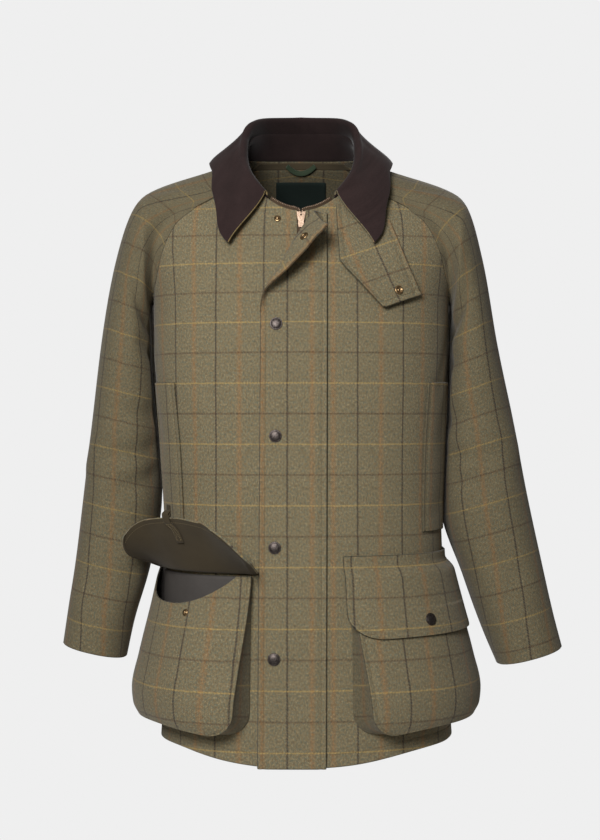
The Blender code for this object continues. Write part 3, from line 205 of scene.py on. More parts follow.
# Bellows pockets, in ring share across and metres down
POCKET_Q = (0.166, 1.075)
POCKET_TOP = -0.556
POCKET_BOTTOM = -0.756
POCKET_CORNER = 0.030
POCKET_NARROW = 0.115
BULGE_COLUMNS = ("down", "off")
BULGE = ((0.00, 0.0085), (0.25, 0.0180), (0.60, 0.0330), (0.82, 0.0410), (0.93, 0.0385), (1.00, 0.0310))
GUSSET_FOOT = 0.0020
SCOOP_DEPTH = 0.040
SCOOP_SPAN = (0.07, 0.95)
FLAP_START_Q = 0.140
FLAP_END_Q = 1.040
LIFT_END_Q = 0.910
FLAP_WIDTH = 0.215
CAP_SPOT = (0.42, 0.81)
FLAP_TOP = -0.530
FLAP_DROP = 0.106
FLAP_CORNER = 0.034
BAND = 0.014
LIFT_ROLL = 0.0052
LIFT_TURN = math.radians(149)
LIFT_TURNS = ((0.0, 104), (0.13, 126), (0.25, 143), (0.40, 149), (0.60, 145), (0.82, 125), (1.0, 104))
LIFT_FORWARD = 0.80
LIFT_HEADING = (-0.55, -0.84, 0.0)
LIFT_LEAN_START = 0.45
FLAP_CLEAR = 0.0012
GUSSET_SAG = 0.10
GUSSET_CUT = (0.012, 0.02)
STRAP_SHARE = 0.40
STRAP_TOP = (-0.1800, -0.4660)
STRAP_WIDTH = 0.0110
STRAP_WALL = 0.0014
STRAP_HOLD = 0.036
STRAP_LANDING = ((0.022, 0.0075), (0.012, 0.0004), (0.0, 0.0))
STUD_SPOT = (0.33, 0.250)

# Hand-warmer welts
WELT_STEPS = 4
WELT_HEIGHTS = (-0.500, -0.298)
WELT_LENGTH = 0.2
WELT_WIDTH = 0.06
WELT_SHIFT = 0.021

# Inside the back of the neck
LABEL_HALF = 0.036
LABEL_HEIGHTS = (-0.062, -0.008)
LOOP_HALF = 0.021
LOOP_SAG = 0.010
LOOP_RADIUS = 0.0016
LOOP_FLATNESS = (0.7, 2.4)

RIGHT, LEFT = -1.0, 1.0


# Smooth tables

def column(rows, names, name):
    """One named column of a table."""
    return np.array([row[names.index(name)] for row in rows])


def named(rows, names):
    """Rows of a table, each with its columns' names."""
    return [dict(zip(names, row)) for row in rows]


def smooth(at, knots, values):
    """Cubic through the rows of a table that never overshoots them."""
    at = np.clip(np.asarray(at, dtype=float), knots[0], knots[-1])
    values = np.asarray(values, dtype=float)
    step = np.diff(knots)
    step = step.reshape((-1,) + (1,) * (values.ndim - 1))
    rise = np.diff(values, axis=0) / step
    slope = np.zeros_like(values)
    product = rise[1:] * rise[:-1]
    weight_a = 2 * step[1:] + step[:-1]
    weight_b = step[1:] + 2 * step[:-1]
    tiny = 1e-15
    safe_a = np.where(np.abs(rise[:-1]) < tiny, tiny, rise[:-1])
    safe_b = np.where(np.abs(rise[1:]) < tiny, tiny, rise[1:])
    mean = (weight_a + weight_b) / (weight_a / safe_a + weight_b / safe_b)
    slope[1:-1] = np.where(product > 0, mean, 0.0)
    slope[0] = rise[0]
    slope[-1] = rise[-1]
    cell = np.clip(np.searchsorted(knots, at, side="right") - 1, 0, len(knots) - 2)
    width = np.asarray(knots)[cell + 1] - np.asarray(knots)[cell]
    t = (at - np.asarray(knots)[cell]) / width
    extra = (1,) * (values.ndim - 1)
    t = t.reshape(t.shape + extra)
    width = width.reshape(width.shape + extra)
    h00 = (1 + 2 * t) * (1 - t) ** 2
    h10 = t * (1 - t) ** 2
    h01 = t * t * (3 - 2 * t)
    h11 = t * t * (t - 1)
    return (h00 * values[cell] + h10 * width * slope[cell]
            + h01 * values[cell + 1] + h11 * width * slope[cell + 1])


def ease(t):
    """Soft step from 0 to 1."""
    t = np.clip(t, 0.0, 1.0)
    return t * t * (3 - 2 * t)


def unit(v):
    """Vectors of length one."""
    return v / np.maximum(np.linalg.norm(v, axis=-1, keepdims=True), 1e-12)


def way_along(points):
    """Way along a line of points to each of them."""
    return np.concatenate([[0], np.cumsum(np.linalg.norm(np.diff(points, axis=0), axis=1))])


def at_way(at, run, values):
    """Vectors of a line at given ways along it."""
    return np.stack([np.interp(at, run, values[:, k]) for k in range(3)], axis=1)


def nearest(shares, value):
    """Number of the share that lies nearest to a value."""
    return int(np.argmin(np.abs(shares - value)))


# Surface of the body: q is 0 at the centre front, 1 at the side, 2 at the centre back

RING_HEIGHTS = column(BODY_RINGS, RING_COLUMNS, "height")


def ring(name, height):
    """One ring size at any height."""
    return smooth(height, RING_HEIGHTS, column(BODY_RINGS, RING_COLUMNS, name))


def tilt_power(height):
    """How closely the dip of a ring keeps to the middle: closest at the hem."""
    return TILT_POWER + (HEM_TILT_POWER - TILT_POWER) * ease((HEM_TILT_START - height) / HEM_TILT_RUN)


# Soft waves and creases of the worn cloth, all in metres along and across the surface
WAVE_COLUMNS = ("count", "turn", "foot", "top")
WAVES = (
    (3, 0.6, 0.0016, 0.0004),
    (5, 2.1, 0.0013, 0.0003),
    (8, 4.0, 0.0009, 0.0002),
)
CREASE_COLUMNS = ("q_start", "height_start", "q_end", "height_end", "wide", "deep")
CREASES = (
    (0.93, -0.215, 0.66, -0.330, 0.016, -0.0024),
    (0.95, -0.250, 0.74, -0.400, 0.020, -0.0020),
    (-0.94, -0.220, -0.68, -0.318, 0.015, -0.0022),
    (-0.96, -0.262, -0.78, -0.415, 0.021, -0.0022),
    (0.80, -0.150, 0.62, -0.118, 0.014, -0.0012),
    (-0.82, -0.158, -0.60, -0.110, 0.016, -0.0014),
    (0.86, -0.455, 0.60, -0.486, 0.017, -0.0015),
    (-0.84, -0.470, -0.58, -0.492, 0.016, -0.0013),
    (1.14, -0.205, 1.42, -0.345, 0.019, -0.0034),
    (1.18, -0.262, 1.36, -0.430, 0.022, -0.0028),
    (-1.13, -0.212, -1.47, -0.330, 0.018, -0.0030),
    (-1.20, -0.275, -1.40, -0.448, 0.023, -0.0032),
    (1.22, -0.462, 1.72, -0.486, 0.018, -0.0026),
    (1.30, -0.500, 1.62, -0.535, 0.022, 0.0022),
    (-1.26, -0.455, -1.66, -0.470, 0.017, -0.0022),
    (-1.20, -0.505, -1.78, -0.520, 0.021, 0.0024),
    (1.45, -0.640, 1.52, -0.800, 0.030, 0.0032),
    (-1.38, -0.600, -1.44, -0.800, 0.028, 0.0030),
    (1.74, -0.620, 1.78, -0.800, 0.032, -0.0030),
    (-1.70, -0.660, -1.72, -0.800, 0.030, -0.0026),
)
GIRTH_SCALE = 0.29


def form(q, height, side):
    """Body of the coat before its creases."""
    q = np.asarray(q, dtype=float)
    height = np.asarray(height, dtype=float)
    q, height = np.broadcast_arrays(q, height)
    angle = q * math.pi / 2
    power = 2.0 / ring("squareness", height)
    sine = np.sign(np.sin(angle)) * np.abs(np.sin(angle)) ** power
    cosine = np.abs(np.cos(angle))
    forward = np.cos(angle) > 0
    x = side * ring("half_width", height) * sine + ring("sway", height) * np.sin(angle) ** 2
    y = np.where(forward, -ring("front", height), ring("back", height)) * cosine ** power
    tilt = np.where(forward, -ring("front_drop", height), ring("back_lift", height))
    tilt = tilt * cosine ** tilt_power(height)
    return np.stack([x, y, height + tilt], axis=-1)


def trough(across, down, start, end, wide):
    """Soft ridge of height one along a line, fading towards both ends."""
    run = np.array(end) - np.array(start)
    length = math.hypot(*run)
    t = ((across - start[0]) * run[0] + (down - start[1]) * run[1]) / length ** 2
    aside = ((across - start[0]) * run[1] - (down - start[1]) * run[0]) / length
    fade = ease(t / 0.35 + 0.2) * ease((1 - t) / 0.45 + 0.15)
    return np.exp(-(aside / wide) ** 2) * fade


def drape(q, height, side):
    """How far the creased cloth lies off the plain form."""
    around = side * q
    angle = around * math.pi / 2
    rise = np.clip((height - HEM_HEIGHT) / (UNDERARM_HEIGHT - HEM_HEIGHT), 0, 1)
    calm = ease((np.abs(q) - 0.03) / 0.3) * (1 - 0.6 * np.exp(-((q - 1) / 0.12) ** 2))
    off = np.zeros(np.broadcast(q, height).shape)
    for size in named(WAVES, WAVE_COLUMNS):
        depth = size["foot"] + (size["top"] - size["foot"]) * ease(rise / 0.8)
        off = off + depth * calm * np.cos(size["count"] * angle + size["turn"] + 1.2 * rise)
    for size in named(CREASES, CREASE_COLUMNS):
        start = (size["q_start"] * GIRTH_SCALE, size["height_start"])
        end = (size["q_end"] * GIRTH_SCALE, size["height_end"])
        off = off + size["deep"] * trough(around * GIRTH_SCALE, height, start, end, size["wide"])
    return off * ease((NECK_HEIGHT - height) / 0.06)


def outward(surface, q, height, side):
    """Outward direction of a surface of the body."""
    step_q, step_h = 0.004, 0.0008
    across = surface(q + step_q, height, side) - surface(q - step_q, height, side)
    up = surface(q, height + step_h, side) - surface(q, height - step_h, side)
    turn = np.asarray(side, dtype=float)[..., None] if np.ndim(side) else side
    return turn * unit(np.cross(across, up))


def body(q, height, side):
    """Outer surface of the body of the coat, with its creases."""
    q, height = np.broadcast_arrays(np.asarray(q, dtype=float), np.asarray(height, dtype=float))
    return form(q, height, side) + drape(q, height, side)[..., None] * outward(form, q, height, side)


def body_normal(q, height, side):
    """Outward direction of the creased body."""
    return outward(body, q, height, side)


def girth(q, height, side):
    """Way round the body from the centre front, level."""
    q, height = np.broadcast_arrays(np.asarray(q, dtype=float), np.asarray(height, dtype=float))
    steps = q[..., None] * np.linspace(0, 1, 49)
    points = form(steps, np.broadcast_to(height[..., None], steps.shape), side)
    return np.linalg.norm(np.diff(points[..., :2], axis=-2), axis=-1).sum(axis=-1)


def rise_line(q):
    """Levels up a line of the cloth, and the way up the line to each."""
    line = form(np.full(160, q), np.linspace(HEM_HEIGHT, NECK_HEIGHT, 160), 1.0)
    return line[:, 2], way_along(line[:, 1:])


WAIST = -0.40
FRONT_LEVELS, FRONT_RUN = rise_line(0.55)
BACK_LEVELS, BACK_RUN = rise_line(2.0)


def up_cloth(z):
    """Way up the cloth at a level, from the waist; above the front it follows the back."""
    waist = np.interp(WAIST, FRONT_LEVELS, FRONT_RUN)
    low = np.minimum(z - FRONT_LEVELS[0], 0.0)
    start = np.interp(FRONT_LEVELS[-1], BACK_LEVELS, BACK_RUN)
    high = np.maximum(np.interp(z, BACK_LEVELS, BACK_RUN) - start, 0.0)
    return np.interp(z, FRONT_LEVELS, FRONT_RUN) - waist + WAIST + low + high


def off_body(q, height, side, off):
    """A point of the body surface moved out."""
    off = np.asarray(off, dtype=float)
    return body(q, height, side) + off[..., None] * body_normal(q, height, side)


def q_at_x(x, height, back=False):
    """Place along the ring where the cloth is a given distance out from the middle."""
    share = np.clip(np.abs(x) / ring("half_width", height), 0, 1) ** (ring("squareness", height) / 2)
    q = np.arcsin(share) * 2 / math.pi
    return 2 - q if back else q


def front_place(x, z):
    """Ring place and height of the front at a given distance out and level; x carries its side."""
    height = np.array(z, dtype=float)
    q = np.zeros_like(height)
    for _ in range(40):
        q = q_at_x(x - ring("sway", height) * np.sin(q * math.pi / 2) ** 2, height)
        drop = ring("front_drop", height) * np.cos(q * math.pi / 2) ** tilt_power(height)
        height = np.minimum(0.5 * height + 0.5 * (z + drop), NECK_HEIGHT)
    return q, height


def front(x, z, off):
    """The front of the coat as a sheet over distance out and level, moved out."""
    x = np.asarray(x, dtype=float)
    z = np.asarray(z, dtype=float)
    x, z = np.broadcast_arrays(x, z)
    step = 0.0015

    def place(px, pz):
        q, height = front_place(px, pz)
        return body(q, height, np.where(px < 0, RIGHT, LEFT))

    base = place(x, z)
    across = place(x + step, z) - place(x - step, z)
    up = place(x, z + step) - place(x, z - step)
    normal = unit(np.cross(across, up))
    off = np.broadcast_to(np.asarray(off, dtype=float), x.shape)
    return base + off[..., None] * normal, normal, unit(across), unit(up)


def raglan_x(height, name):
    """Raglan seam, distance out at a ring height."""
    heights = column(RAGLAN, RAGLAN_COLUMNS, "height")
    return smooth(height, heights, column(RAGLAN, RAGLAN_COLUMNS, name))


def raglan_q(height, back):
    """Raglan seam as a ring place."""
    name = "back_x" if back else "front_x"
    q = q_at_x(raglan_x(height, name), height, back)
    return np.where(height <= UNDERARM_HEIGHT + 1e-6, 1.0, q)


# Making cloth

STITCHES = []
RIM_TURN = 0.45
EDGE_STITCH = 0.0062
HEM_STITCH = 0.0145
POCKET_STITCH = 0.0038
WELT_STITCH = 0.005
STITCH_SINK = 0.0005
SHALLOW_SINK = 0.0004


def spread(count, width, stitch=0.0, ends=(True, True)):
    """Shares of a width from 0 to 1, closer at the edges and at a sewn line beside them."""
    inner = np.linspace(0, 1, count)
    near = [0.0, 0.0011, 0.0030]
    if stitch:
        near += [stitch - 0.0016, stitch, stitch + 0.0016, stitch + 0.0045]
    near = np.unique(np.round(near, 5)) / width
    inner = inner[(inner > near[-1] + 0.4 / count) & (inner < 1 - near[-1] - 0.4 / count)]
    low = near if ends[0] else np.array([0.0])
    high = 1 - near[::-1] if ends[1] else np.array([1.0])
    return np.concatenate([low, inner, high])


def groove(share, width, stitch, ends=(True, True), deep=0.0012):
    """Dip of the cloth where a line is sewn beside its edges."""
    dip = np.zeros_like(share)
    for use, way in zip(ends, (share * width, (1 - share) * width)):
        if use:
            dip = dip - deep * np.exp(-((way - stitch) / 0.0019) ** 2)
    return dip


def grid_normal(points):
    """Outward directions of a grid of points."""
    across = np.gradient(points, axis=1)
    up = np.gradient(points, axis=0)
    return unit(np.cross(across, up))


def boundary(rows, columns):
    """Grid places round the edge, with the place just inside each."""
    loop = [(0, i) for i in range(columns)]
    loop += [(j, columns - 1) for j in range(1, rows)]
    loop += [(rows - 1, i) for i in range(columns - 2, -1, -1)]
    loop += [(j, 0) for j in range(rows - 2, 0, -1)]
    inside = [(min(max(j, 1), rows - 2), min(max(i, 1), columns - 2)) for j, i in loop]
    return np.array(loop), np.array(inside)


def cloth(name, points, wall, cut, slot, finish, under=None, flip=False, relief=None, held="hung",
          rests=(), rim=None, ends_only=False):
    """A grid of outer points becomes a wall of cloth with a rounded edge and its cut as a map."""
    if flip:
        points, cut = points[:, ::-1], cut[:, ::-1]
        relief = None if relief is None else relief[:, ::-1]
    normal = grid_normal(points)
    if relief is not None:
        points = points + relief[..., None] * normal
    rows, columns = points.shape[:2]
    inner = points - wall * normal
    loop, inside = boundary(rows, columns)
    j, i = loop[:, 0], loop[:, 1]
    out = unit(points[j, i] - points[inside[:, 0], inside[:, 1]])
    middle = (points[j, i] + inner[j, i]) / 2 + RIM_TURN * wall * out
    verts = np.concatenate([points.reshape(-1, 3), inner.reshape(-1, 3), middle])
    place = np.arange(rows * columns).reshape(rows, columns)
    quads = np.stack([place[:-1, :-1], place[:-1, 1:], place[1:, 1:], place[1:, :-1]], axis=-1).reshape(-1, 4)
    total = rows * columns
    edge = place[j, i]
    turn = np.arange(len(edge))
    following = np.roll(turn, -1)
    rim_out = np.stack([edge, 2 * total + turn, 2 * total + following, edge[following]], axis=-1)
    rim_in = np.stack(
        [2 * total + turn, total + edge, total + edge[following], 2 * total + following], axis=-1)
    faces = np.concatenate([quads, quads[:, ::-1] + total, rim_out, rim_in])
    mesh = bpy.data.meshes.new(name)
    mesh.from_pydata(verts.tolist(), [], faces.tolist())
    flat = cut.reshape(-1, 2)
    each = np.concatenate([flat, flat, flat[edge]])
    layer = mesh.uv_layers.new(name="cut")
    layer.data.foreach_set("uv", each[faces.ravel()].astype(np.float32).ravel())
    mesh.materials.append(finish)
    mesh.materials.append(under or finish)
    mesh.materials.append(rim or finish)
    under_side = np.zeros(len(faces), dtype=np.int32)
    under_side[len(quads):2 * len(quads)] = 1
    at_end = (j % (rows - 1) == 0) & (j[following] == j)
    under_side[2 * len(quads):] = np.tile(np.where(at_end | (not ends_only), 2, 0), 2)
    mesh.polygons.foreach_set("material_index", under_side)
    mesh.polygons.foreach_set("use_smooth", np.ones(len(faces), dtype=bool))
    mesh.update()
    item = bpy.data.objects.new("cloth_" + name, mesh)
    bpy.context.scene.collection.objects.link(item)
    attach(item, "coat")
    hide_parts(name)
    width, length, area = flat_size(points)
    return item


def tweed(name, points, wall, cut, under=None, **more):
    """A piece of checked tweed, its edges in the darker tweed: painted shade in the seams and along the
    edges.
    """
    return cloth(name, points, wall, cut, "tweed", LOOKS["tweed"], under, rim=LOOKS["facing"], **more)


def flat_size(points):
    """Width, length and area of a piece's cut, from its cloth laid flat."""
    along = np.linalg.norm(np.diff(points, axis=0), axis=2).sum(axis=0)
    over = np.linalg.norm(np.diff(points, axis=1), axis=2).sum(axis=1)
    a = points[1:, :-1] - points[:-1, :-1]
    b = points[:-1, 1:] - points[:-1, :-1]
    c = points[1:, 1:] - points[1:, :-1]
    d = points[1:, 1:] - points[:-1, 1:]
    area = (np.linalg.norm(np.cross(a, b), axis=2) + np.linalg.norm(np.cross(c, d), axis=2)).sum() / 2
    width, length = max(float(over.max()), 0.0105), max(float(along.max()), 0.0105)
    return width, length, float(min(max(area, 0.31 * width * length), width * length))


def sew(points, normal, pitch=0.0034, lift=0.0002):
    """Stitches along a line on the cloth, kept for the sewing."""
    run = way_along(points)
    count = max(int(run[-1] / pitch), 2)
    at = (np.arange(count) + 0.5) * run[-1] / count
    place = at_way(at, run, points)
    facing = unit(at_way(at, run, normal))
    along = unit(np.gradient(place, axis=0))
    STITCHES.append((place + lift * facing, along, facing))


def sew_round(points, normal, low, high, foot, start=0):
    """Stitches down both sides of a piece and along its foot."""
    for column_number in (low, high):
        sew(points[start:foot + 1, column_number], normal[start:foot + 1, column_number])
    sew(points[foot, low:high + 1], normal[foot, low:high + 1])


# Cut of the check: dark and rust stripes up the cloth, ochre and brown across it
STRIPE = 0.0655
BAR = 0.0815
BAR_START = -0.3005
LOOKS = {}


def up_check(z):
    """Way up the cloth from an ochre bar of the check."""
    return up_cloth(z) - up_cloth(np.array(BAR_START))


def matched(q, height, side, z, shift):
    """Cut of a piece whose check runs level round the body."""
    u = girth(q, height, side) - shift
    return np.stack([u, up_check(z)], axis=-1)


FRONT_SHIFT = {RIGHT: 0.0500, LEFT: 0.0757}


# Fronts and back

SEAM_DIP = 0.0013
LOW_STEPS = 84
SEAM_STEPS = 54


def panel_heights():
    """Ring heights of the rows: even up the body, then even along the raglan seam."""
    low = HEM_HEIGHT + (UNDERARM_HEIGHT - HEM_HEIGHT) * spread(LOW_STEPS, 0.62, HEM_STITCH, (True, False))
    fine = np.linspace(UNDERARM_HEIGHT, NECK_HEIGHT - SEAM, 4000)
    seam = form(raglan_q(fine, False), fine, LEFT)
    run = way_along(seam)
    high = np.interp(np.linspace(0, run[-1], SEAM_STEPS + 1), run, fine)
    return np.concatenate([low, high[1:]])


HEIGHTS = panel_heights()
SEAM_HEIGHTS = HEIGHTS[-SEAM_STEPS - 1:]


def raglan_edge(heights, side, back, shift):
    """Points of the raglan seam moved within the cloth, towards the sleeve for a positive shift."""
    q = raglan_q(heights, back)
    base = body(q, heights, side)
    along = unit(np.gradient(base, axis=0))
    turn = -side if back else side
    across = turn * np.cross(along, body_normal(q, heights, side))
    moved = base + shift * unit(across)
    least = 2 * SEAM_TRIM if shift < 0 else 3 * SEAM_TRIM
    if back:
        moved[:, 1] = np.maximum(moved[:, 1], least)
    else:
        moved[:, 1] = np.minimum(moved[:, 1], -least)
    return moved


def panel_places(back, count):
    """Ring places of the rows, from the centre line to the side or raglan seam."""
    end = raglan_q(HEIGHTS, back)
    if back:
        start = np.full_like(end, 2.0)
    else:
        start = q_at_x(np.full_like(HEIGHTS, FRONT_EDGE), HEIGHTS)
    share = spread(count, 0.28, 0.0, (not back, True))
    return start[:, None] + (end - start)[:, None] * share[None]


def hem_relief(points, seams):
    """Dip along the sewn hem and down into the seams at the sides."""
    way = HEIGHTS - HEM_HEIGHT
    dip = -0.0007 * np.exp(-((way - HEM_STITCH) / 0.0022) ** 2)
    dip = np.broadcast_to(dip[:, None], points.shape[:2]).copy()
    dip[:, seams] -= SEAM_DIP
    return dip


def front_panel(name, side):
    """One front, from the zip to the side and raglan seams."""
    q = panel_places(False, 46)
    height = np.broadcast_to(HEIGHTS[:, None], q.shape)
    points = body(q, height, side)
    points[-SEAM_STEPS - 1:, -1] = raglan_edge(SEAM_HEIGHTS, side, False, -SEAM_TRIM)
    cut = matched(q, height, side, points[..., 2], FRONT_SHIFT[side])
    sew_hem(q, side)
    # Painted shade: the inside of the front and its edges take the darker tweed
    return tweed(name, points, CLOTH, cut, LOOKS["facing"], flip=side < 0,
                 relief=hem_relief(points, [-1]), rests=["back_panel"])


def sew_hem(q, side):
    """Stitches along the hem."""
    row = q[0]
    height = np.full_like(row, HEM_HEIGHT + HEM_STITCH)
    sew(off_body(row, height, side, -SHALLOW_SINK), body_normal(row, height, side))


def back_panel():
    """The back in one piece."""
    q = panel_places(True, 42)
    height = np.broadcast_to(HEIGHTS[:, None], q.shape)
    halves, cuts = {}, {}
    for side in (RIGHT, LEFT):
        points = body(q, height, side)
        points[-SEAM_STEPS - 1:, -1] = raglan_edge(SEAM_HEIGHTS, side, True, -SEAM_TRIM)
        whole = girth(np.full_like(q, 2.0), height, side)
        u = side * (whole - girth(q, height, side)) + STRIPE / 2
        cuts[side] = np.stack([u, up_check(points[..., 2])], axis=-1)
        halves[side] = points
        sew_hem(q, side)
    points = np.concatenate([halves[RIGHT][:, ::-1], halves[LEFT][:, 1:]], axis=1)
    cut = np.concatenate([cuts[RIGHT][:, ::-1], cuts[LEFT][:, 1:]], axis=1)
    # Painted shade: the inside of the back and its edges take the darker tweed
    return tweed("back_panel", points, CLOTH, cut, LOOKS["facing"], flip=True,
                 relief=hem_relief(points, [0, -1]), rests=["right_front", "left_front"])


# Sleeves

SHOULDER_STEPS = 16
SLEEVE_CREASE_DEPTH = 1.7
SLEEVE_CREASE_COLUMNS = ("u_start", "v_start", "u_end", "v_end", "wide", "deep")
SLEEVE_CREASES = {
    "right_front": (
        (0.185, 0.300, 0.075, 0.265, 0.013, -0.0034), (0.190, 0.268, 0.095, 0.222, 0.014, -0.0030),
        (0.180, 0.345, 0.090, 0.330, 0.016, -0.0026), (0.200, 0.455, 0.105, 0.520, 0.017, -0.0036),
        (0.195, 0.415, 0.120, 0.450, 0.014, -0.0024), (0.150, 0.120, 0.060, 0.090, 0.018, -0.0020),
        (0.040, 0.230, 0.075, 0.300, 0.022, 0.0018),
    ),
    "left_front": (
        (0.190, 0.310, 0.085, 0.270, 0.014, -0.0032), (0.180, 0.270, 0.080, 0.240, 0.013, -0.0026),
        (0.195, 0.350, 0.110, 0.345, 0.015, -0.0028), (0.205, 0.460, 0.110, 0.530, 0.018, -0.0038),
        (0.190, 0.420, 0.125, 0.440, 0.013, -0.0020), (0.140, 0.150, 0.070, 0.105, 0.019, -0.0022),
        (0.050, 0.260, 0.085, 0.330, 0.023, 0.0016),
    ),
    "right_back": (
        (0.190, 0.330, 0.070, 0.365, 0.016, -0.0030), (0.180, 0.285, 0.095, 0.300, 0.014, -0.0034),
        (0.200, 0.450, 0.120, 0.540, 0.018, -0.0036), (0.150, 0.200, 0.060, 0.235, 0.018, 0.0024),
    ),
    "left_back": (
        (0.185, 0.320, 0.080, 0.345, 0.015, -0.0032), (0.190, 0.270, 0.100, 0.300, 0.015, -0.0028),
        (0.205, 0.455, 0.110, 0.530, 0.017, -0.0034), (0.140, 0.180, 0.070, 0.225, 0.019, 0.0022),
    ),
}
SLEEVE_SHIFT = {RIGHT: (0.070, 0.037), LEFT: (0.090, 0.058)}


def seam_loop(side, back):
    """Neck edge and raglan seam of one sleeve half, from the shoulder line to the underarm."""
    trim = NECK_TRIM_Q if back else -NECK_TRIM_Q
    seam = raglan_edge(SEAM_HEIGHTS, side, back, SEAM_TRIM)[::-1]
    corner = float(raglan_q(np.array(SEAM_HEIGHTS[-1]), back))
    neck_q = np.linspace(NECK_SIDE_Q + trim, corner, SHOULDER_STEPS + 1)[:-1]
    neck = body(neck_q, np.full(SHOULDER_STEPS, SEAM_HEIGHTS[-1]), side)
    return np.concatenate([neck, seam])


def clear_of_body(points, side):
    """Keep a sleeve just outside the side of the body where the two would press together."""
    level = points[..., 2]
    deep = np.where(points[..., 1] < 0, ring("front", level), ring("back", level))
    share = np.clip(np.abs(points[..., 1]) / deep, 0, 1)
    power = ring("squareness", level)
    reach = ring("half_width", level) * (1 - share ** power) ** (1 / power)
    reach = reach + side * ring("sway", level) + SEAT
    reach = reach + SLEEVE_CLEAR * ease((UNDERARM_HEIGHT + 0.012 - level) / 0.030)
    limit = np.where(level < UNDERARM_HEIGHT + 0.050, reach, 0.0)
    pressed = points.copy()
    pressed[..., 0] = side * np.maximum(side * points[..., 0], limit)
    return pressed


def sleeve_points(table, side, back):
    """Half a raglan sleeve, from the raglan seam over the shoulder to the cuff."""
    seam = seam_loop(side, back)
    share = np.concatenate([
        np.linspace(0, 0.25, SHOULDER_STEPS + 1)[:-1], np.linspace(0.25, 1, SEAM_STEPS + 1)])
    rings = [seam]
    for size in named(table, SLEEVE_COLUMNS):
        outer = np.array([side * size["outer_x"], 0.0, size["outer_z"]])
        inner = np.array([side * size["inner_x"], 0.0, size["inner_z"]])
        angle = SLEEVE_TRIM + (math.pi - 2 * SLEEVE_TRIM) * share ** size["gather"]
        power = 2.0 / size["squareness"]
        reach = np.sign(np.cos(angle)) * np.abs(np.cos(angle)) ** power
        depth = np.abs(np.sin(angle)) ** power
        middle_y = (size["front_y"] + size["back_y"]) / 2
        half_y = (size["back_y"] - size["front_y"]) / 2
        turn = 1.0 if back else -1.0
        point = (outer + inner) / 2 + (outer - inner) / 2 * reach[:, None]
        point[:, 1] += middle_y + turn * half_y * depth
        rings.append(point)
    cap = seam + CAP_SHARE * (rings[1] - seam)
    flat = cap.copy()
    flat[SHOULDER_STEPS:] = raglan_edge(SEAM_HEIGHTS, side, back, SEAM_TRIM + CAP_STEP)[::-1]
    lies_flat = ease((share - CAP_SPAN[0]) / 0.20) * (1 - ease((share - CAP_SPAN[1]) / 0.38))
    cap = cap + lies_flat[:, None] * (flat - cap)
    rings = np.array([rings[0], cap] + rings[1:])
    run = np.concatenate([[0], np.cumsum(np.linalg.norm(np.diff(rings, axis=0), axis=2).mean(axis=1))])
    fine = run[-1] * spread(112, run[-1])
    points = smooth(fine, run, rings)
    points[1:] = clear_of_body(points[1:], side)
    return points


def sleeve_half(prefix, table, side, back):
    """Half a sleeve with its creases."""
    points = sleeve_points(table, side, back)
    over = np.linalg.norm(np.diff(points, axis=1), axis=2)
    u = np.concatenate([np.zeros((len(points), 1)), np.cumsum(over, axis=1)], axis=1)
    down = np.linalg.norm(np.diff(points, axis=0), axis=2)[::-1]
    v = np.concatenate([np.zeros((1, points.shape[1])), np.cumsum(down, axis=0)], axis=0)[::-1]
    name = "back" if back else "front"
    relief = np.zeros(u.shape)
    for size in named(SLEEVE_CREASES[f"{prefix}_{name}"], SLEEVE_CREASE_COLUMNS):
        relief = relief + SLEEVE_CREASE_DEPTH * size["deep"] * trough(
            u, v, (size["u_start"], size["v_start"]), (size["u_end"], size["v_end"]), size["wide"])
    edge = ease(v / 0.02) * ease((v.max(axis=0) - v) / 0.05) * ease(u / 0.03) * ease((u[:, -1:] - u) / 0.02)
    shift = SLEEVE_SHIFT[side]
    cut = np.stack([(u if back else -u) + shift[0], v - shift[1]], axis=-1)
    # Painted shade: the sleeves take a darker copy of the tweed, and their inside and edges take the darker
    # inside tweed
    return cloth(f"{prefix}_sleeve_{name}", points, CLOTH, cut, "tweed", LOOKS["sleeve"], LOOKS["facing"],
                 rim=LOOKS["facing"], flip=(side > 0) == back, relief=relief * edge,
                 rests=[prefix + "_front", "back_panel"])


# Collar

def plain_cut(points):
    """Cut of a plain piece: way over and way down its grid."""
    over = np.linalg.norm(np.diff(points, axis=1), axis=2)
    u = np.concatenate([np.zeros((len(points), 1)), np.cumsum(over, axis=1)], axis=1)
    down = np.linalg.norm(np.diff(points, axis=0), axis=2)
    v = np.concatenate([np.zeros((1, points.shape[1])), np.cumsum(down, axis=0)], axis=0)
    return np.stack([u, v], axis=-1)


def collar_row(along, name):
    """One column of the collar table."""
    return smooth(along, column(COLLAR, COLLAR_COLUMNS, "along"), column(COLLAR, COLLAR_COLUMNS, name))


def collar_sections(along, side):
    """Places and sizes of the collar at shares along the half collar."""
    start = float(q_at_x(COLLAR_FRONT_X, np.array(NECK_HEIGHT)))
    q = start + (2.0 - start) * along
    neck = body(q, np.full_like(q, NECK_HEIGHT), side)
    angle = q * math.pi / 2
    out = unit(np.stack([side * np.sin(angle), -np.cos(angle), np.zeros_like(q)], axis=-1))
    roll = neck - out * collar_row(along, "roll_in")[:, None]
    roll[:, 2] = collar_row(along, "roll_z")
    tall = roll[:, 2] - neck[:, 2]
    radius = np.minimum(ROLL_RADIUS, ROLL_SHARE * tall)
    rise = np.minimum(STAND_SHARE * tall, tall - radius - 0.0015)
    stand = np.column_stack([roll[:, :2], neck[:, 2] + rise])
    return q, neck, stand, roll, radius[:, None], out


def whole_ring(maker, count):
    """Both halves of something that runs from one front end round the back to the other."""
    along = spread(count, 0.33, 0.0, (True, False))
    right = maker(along, RIGHT)
    left = maker(along, LEFT)
    return np.concatenate([right, left[::-1][1:]], axis=0)


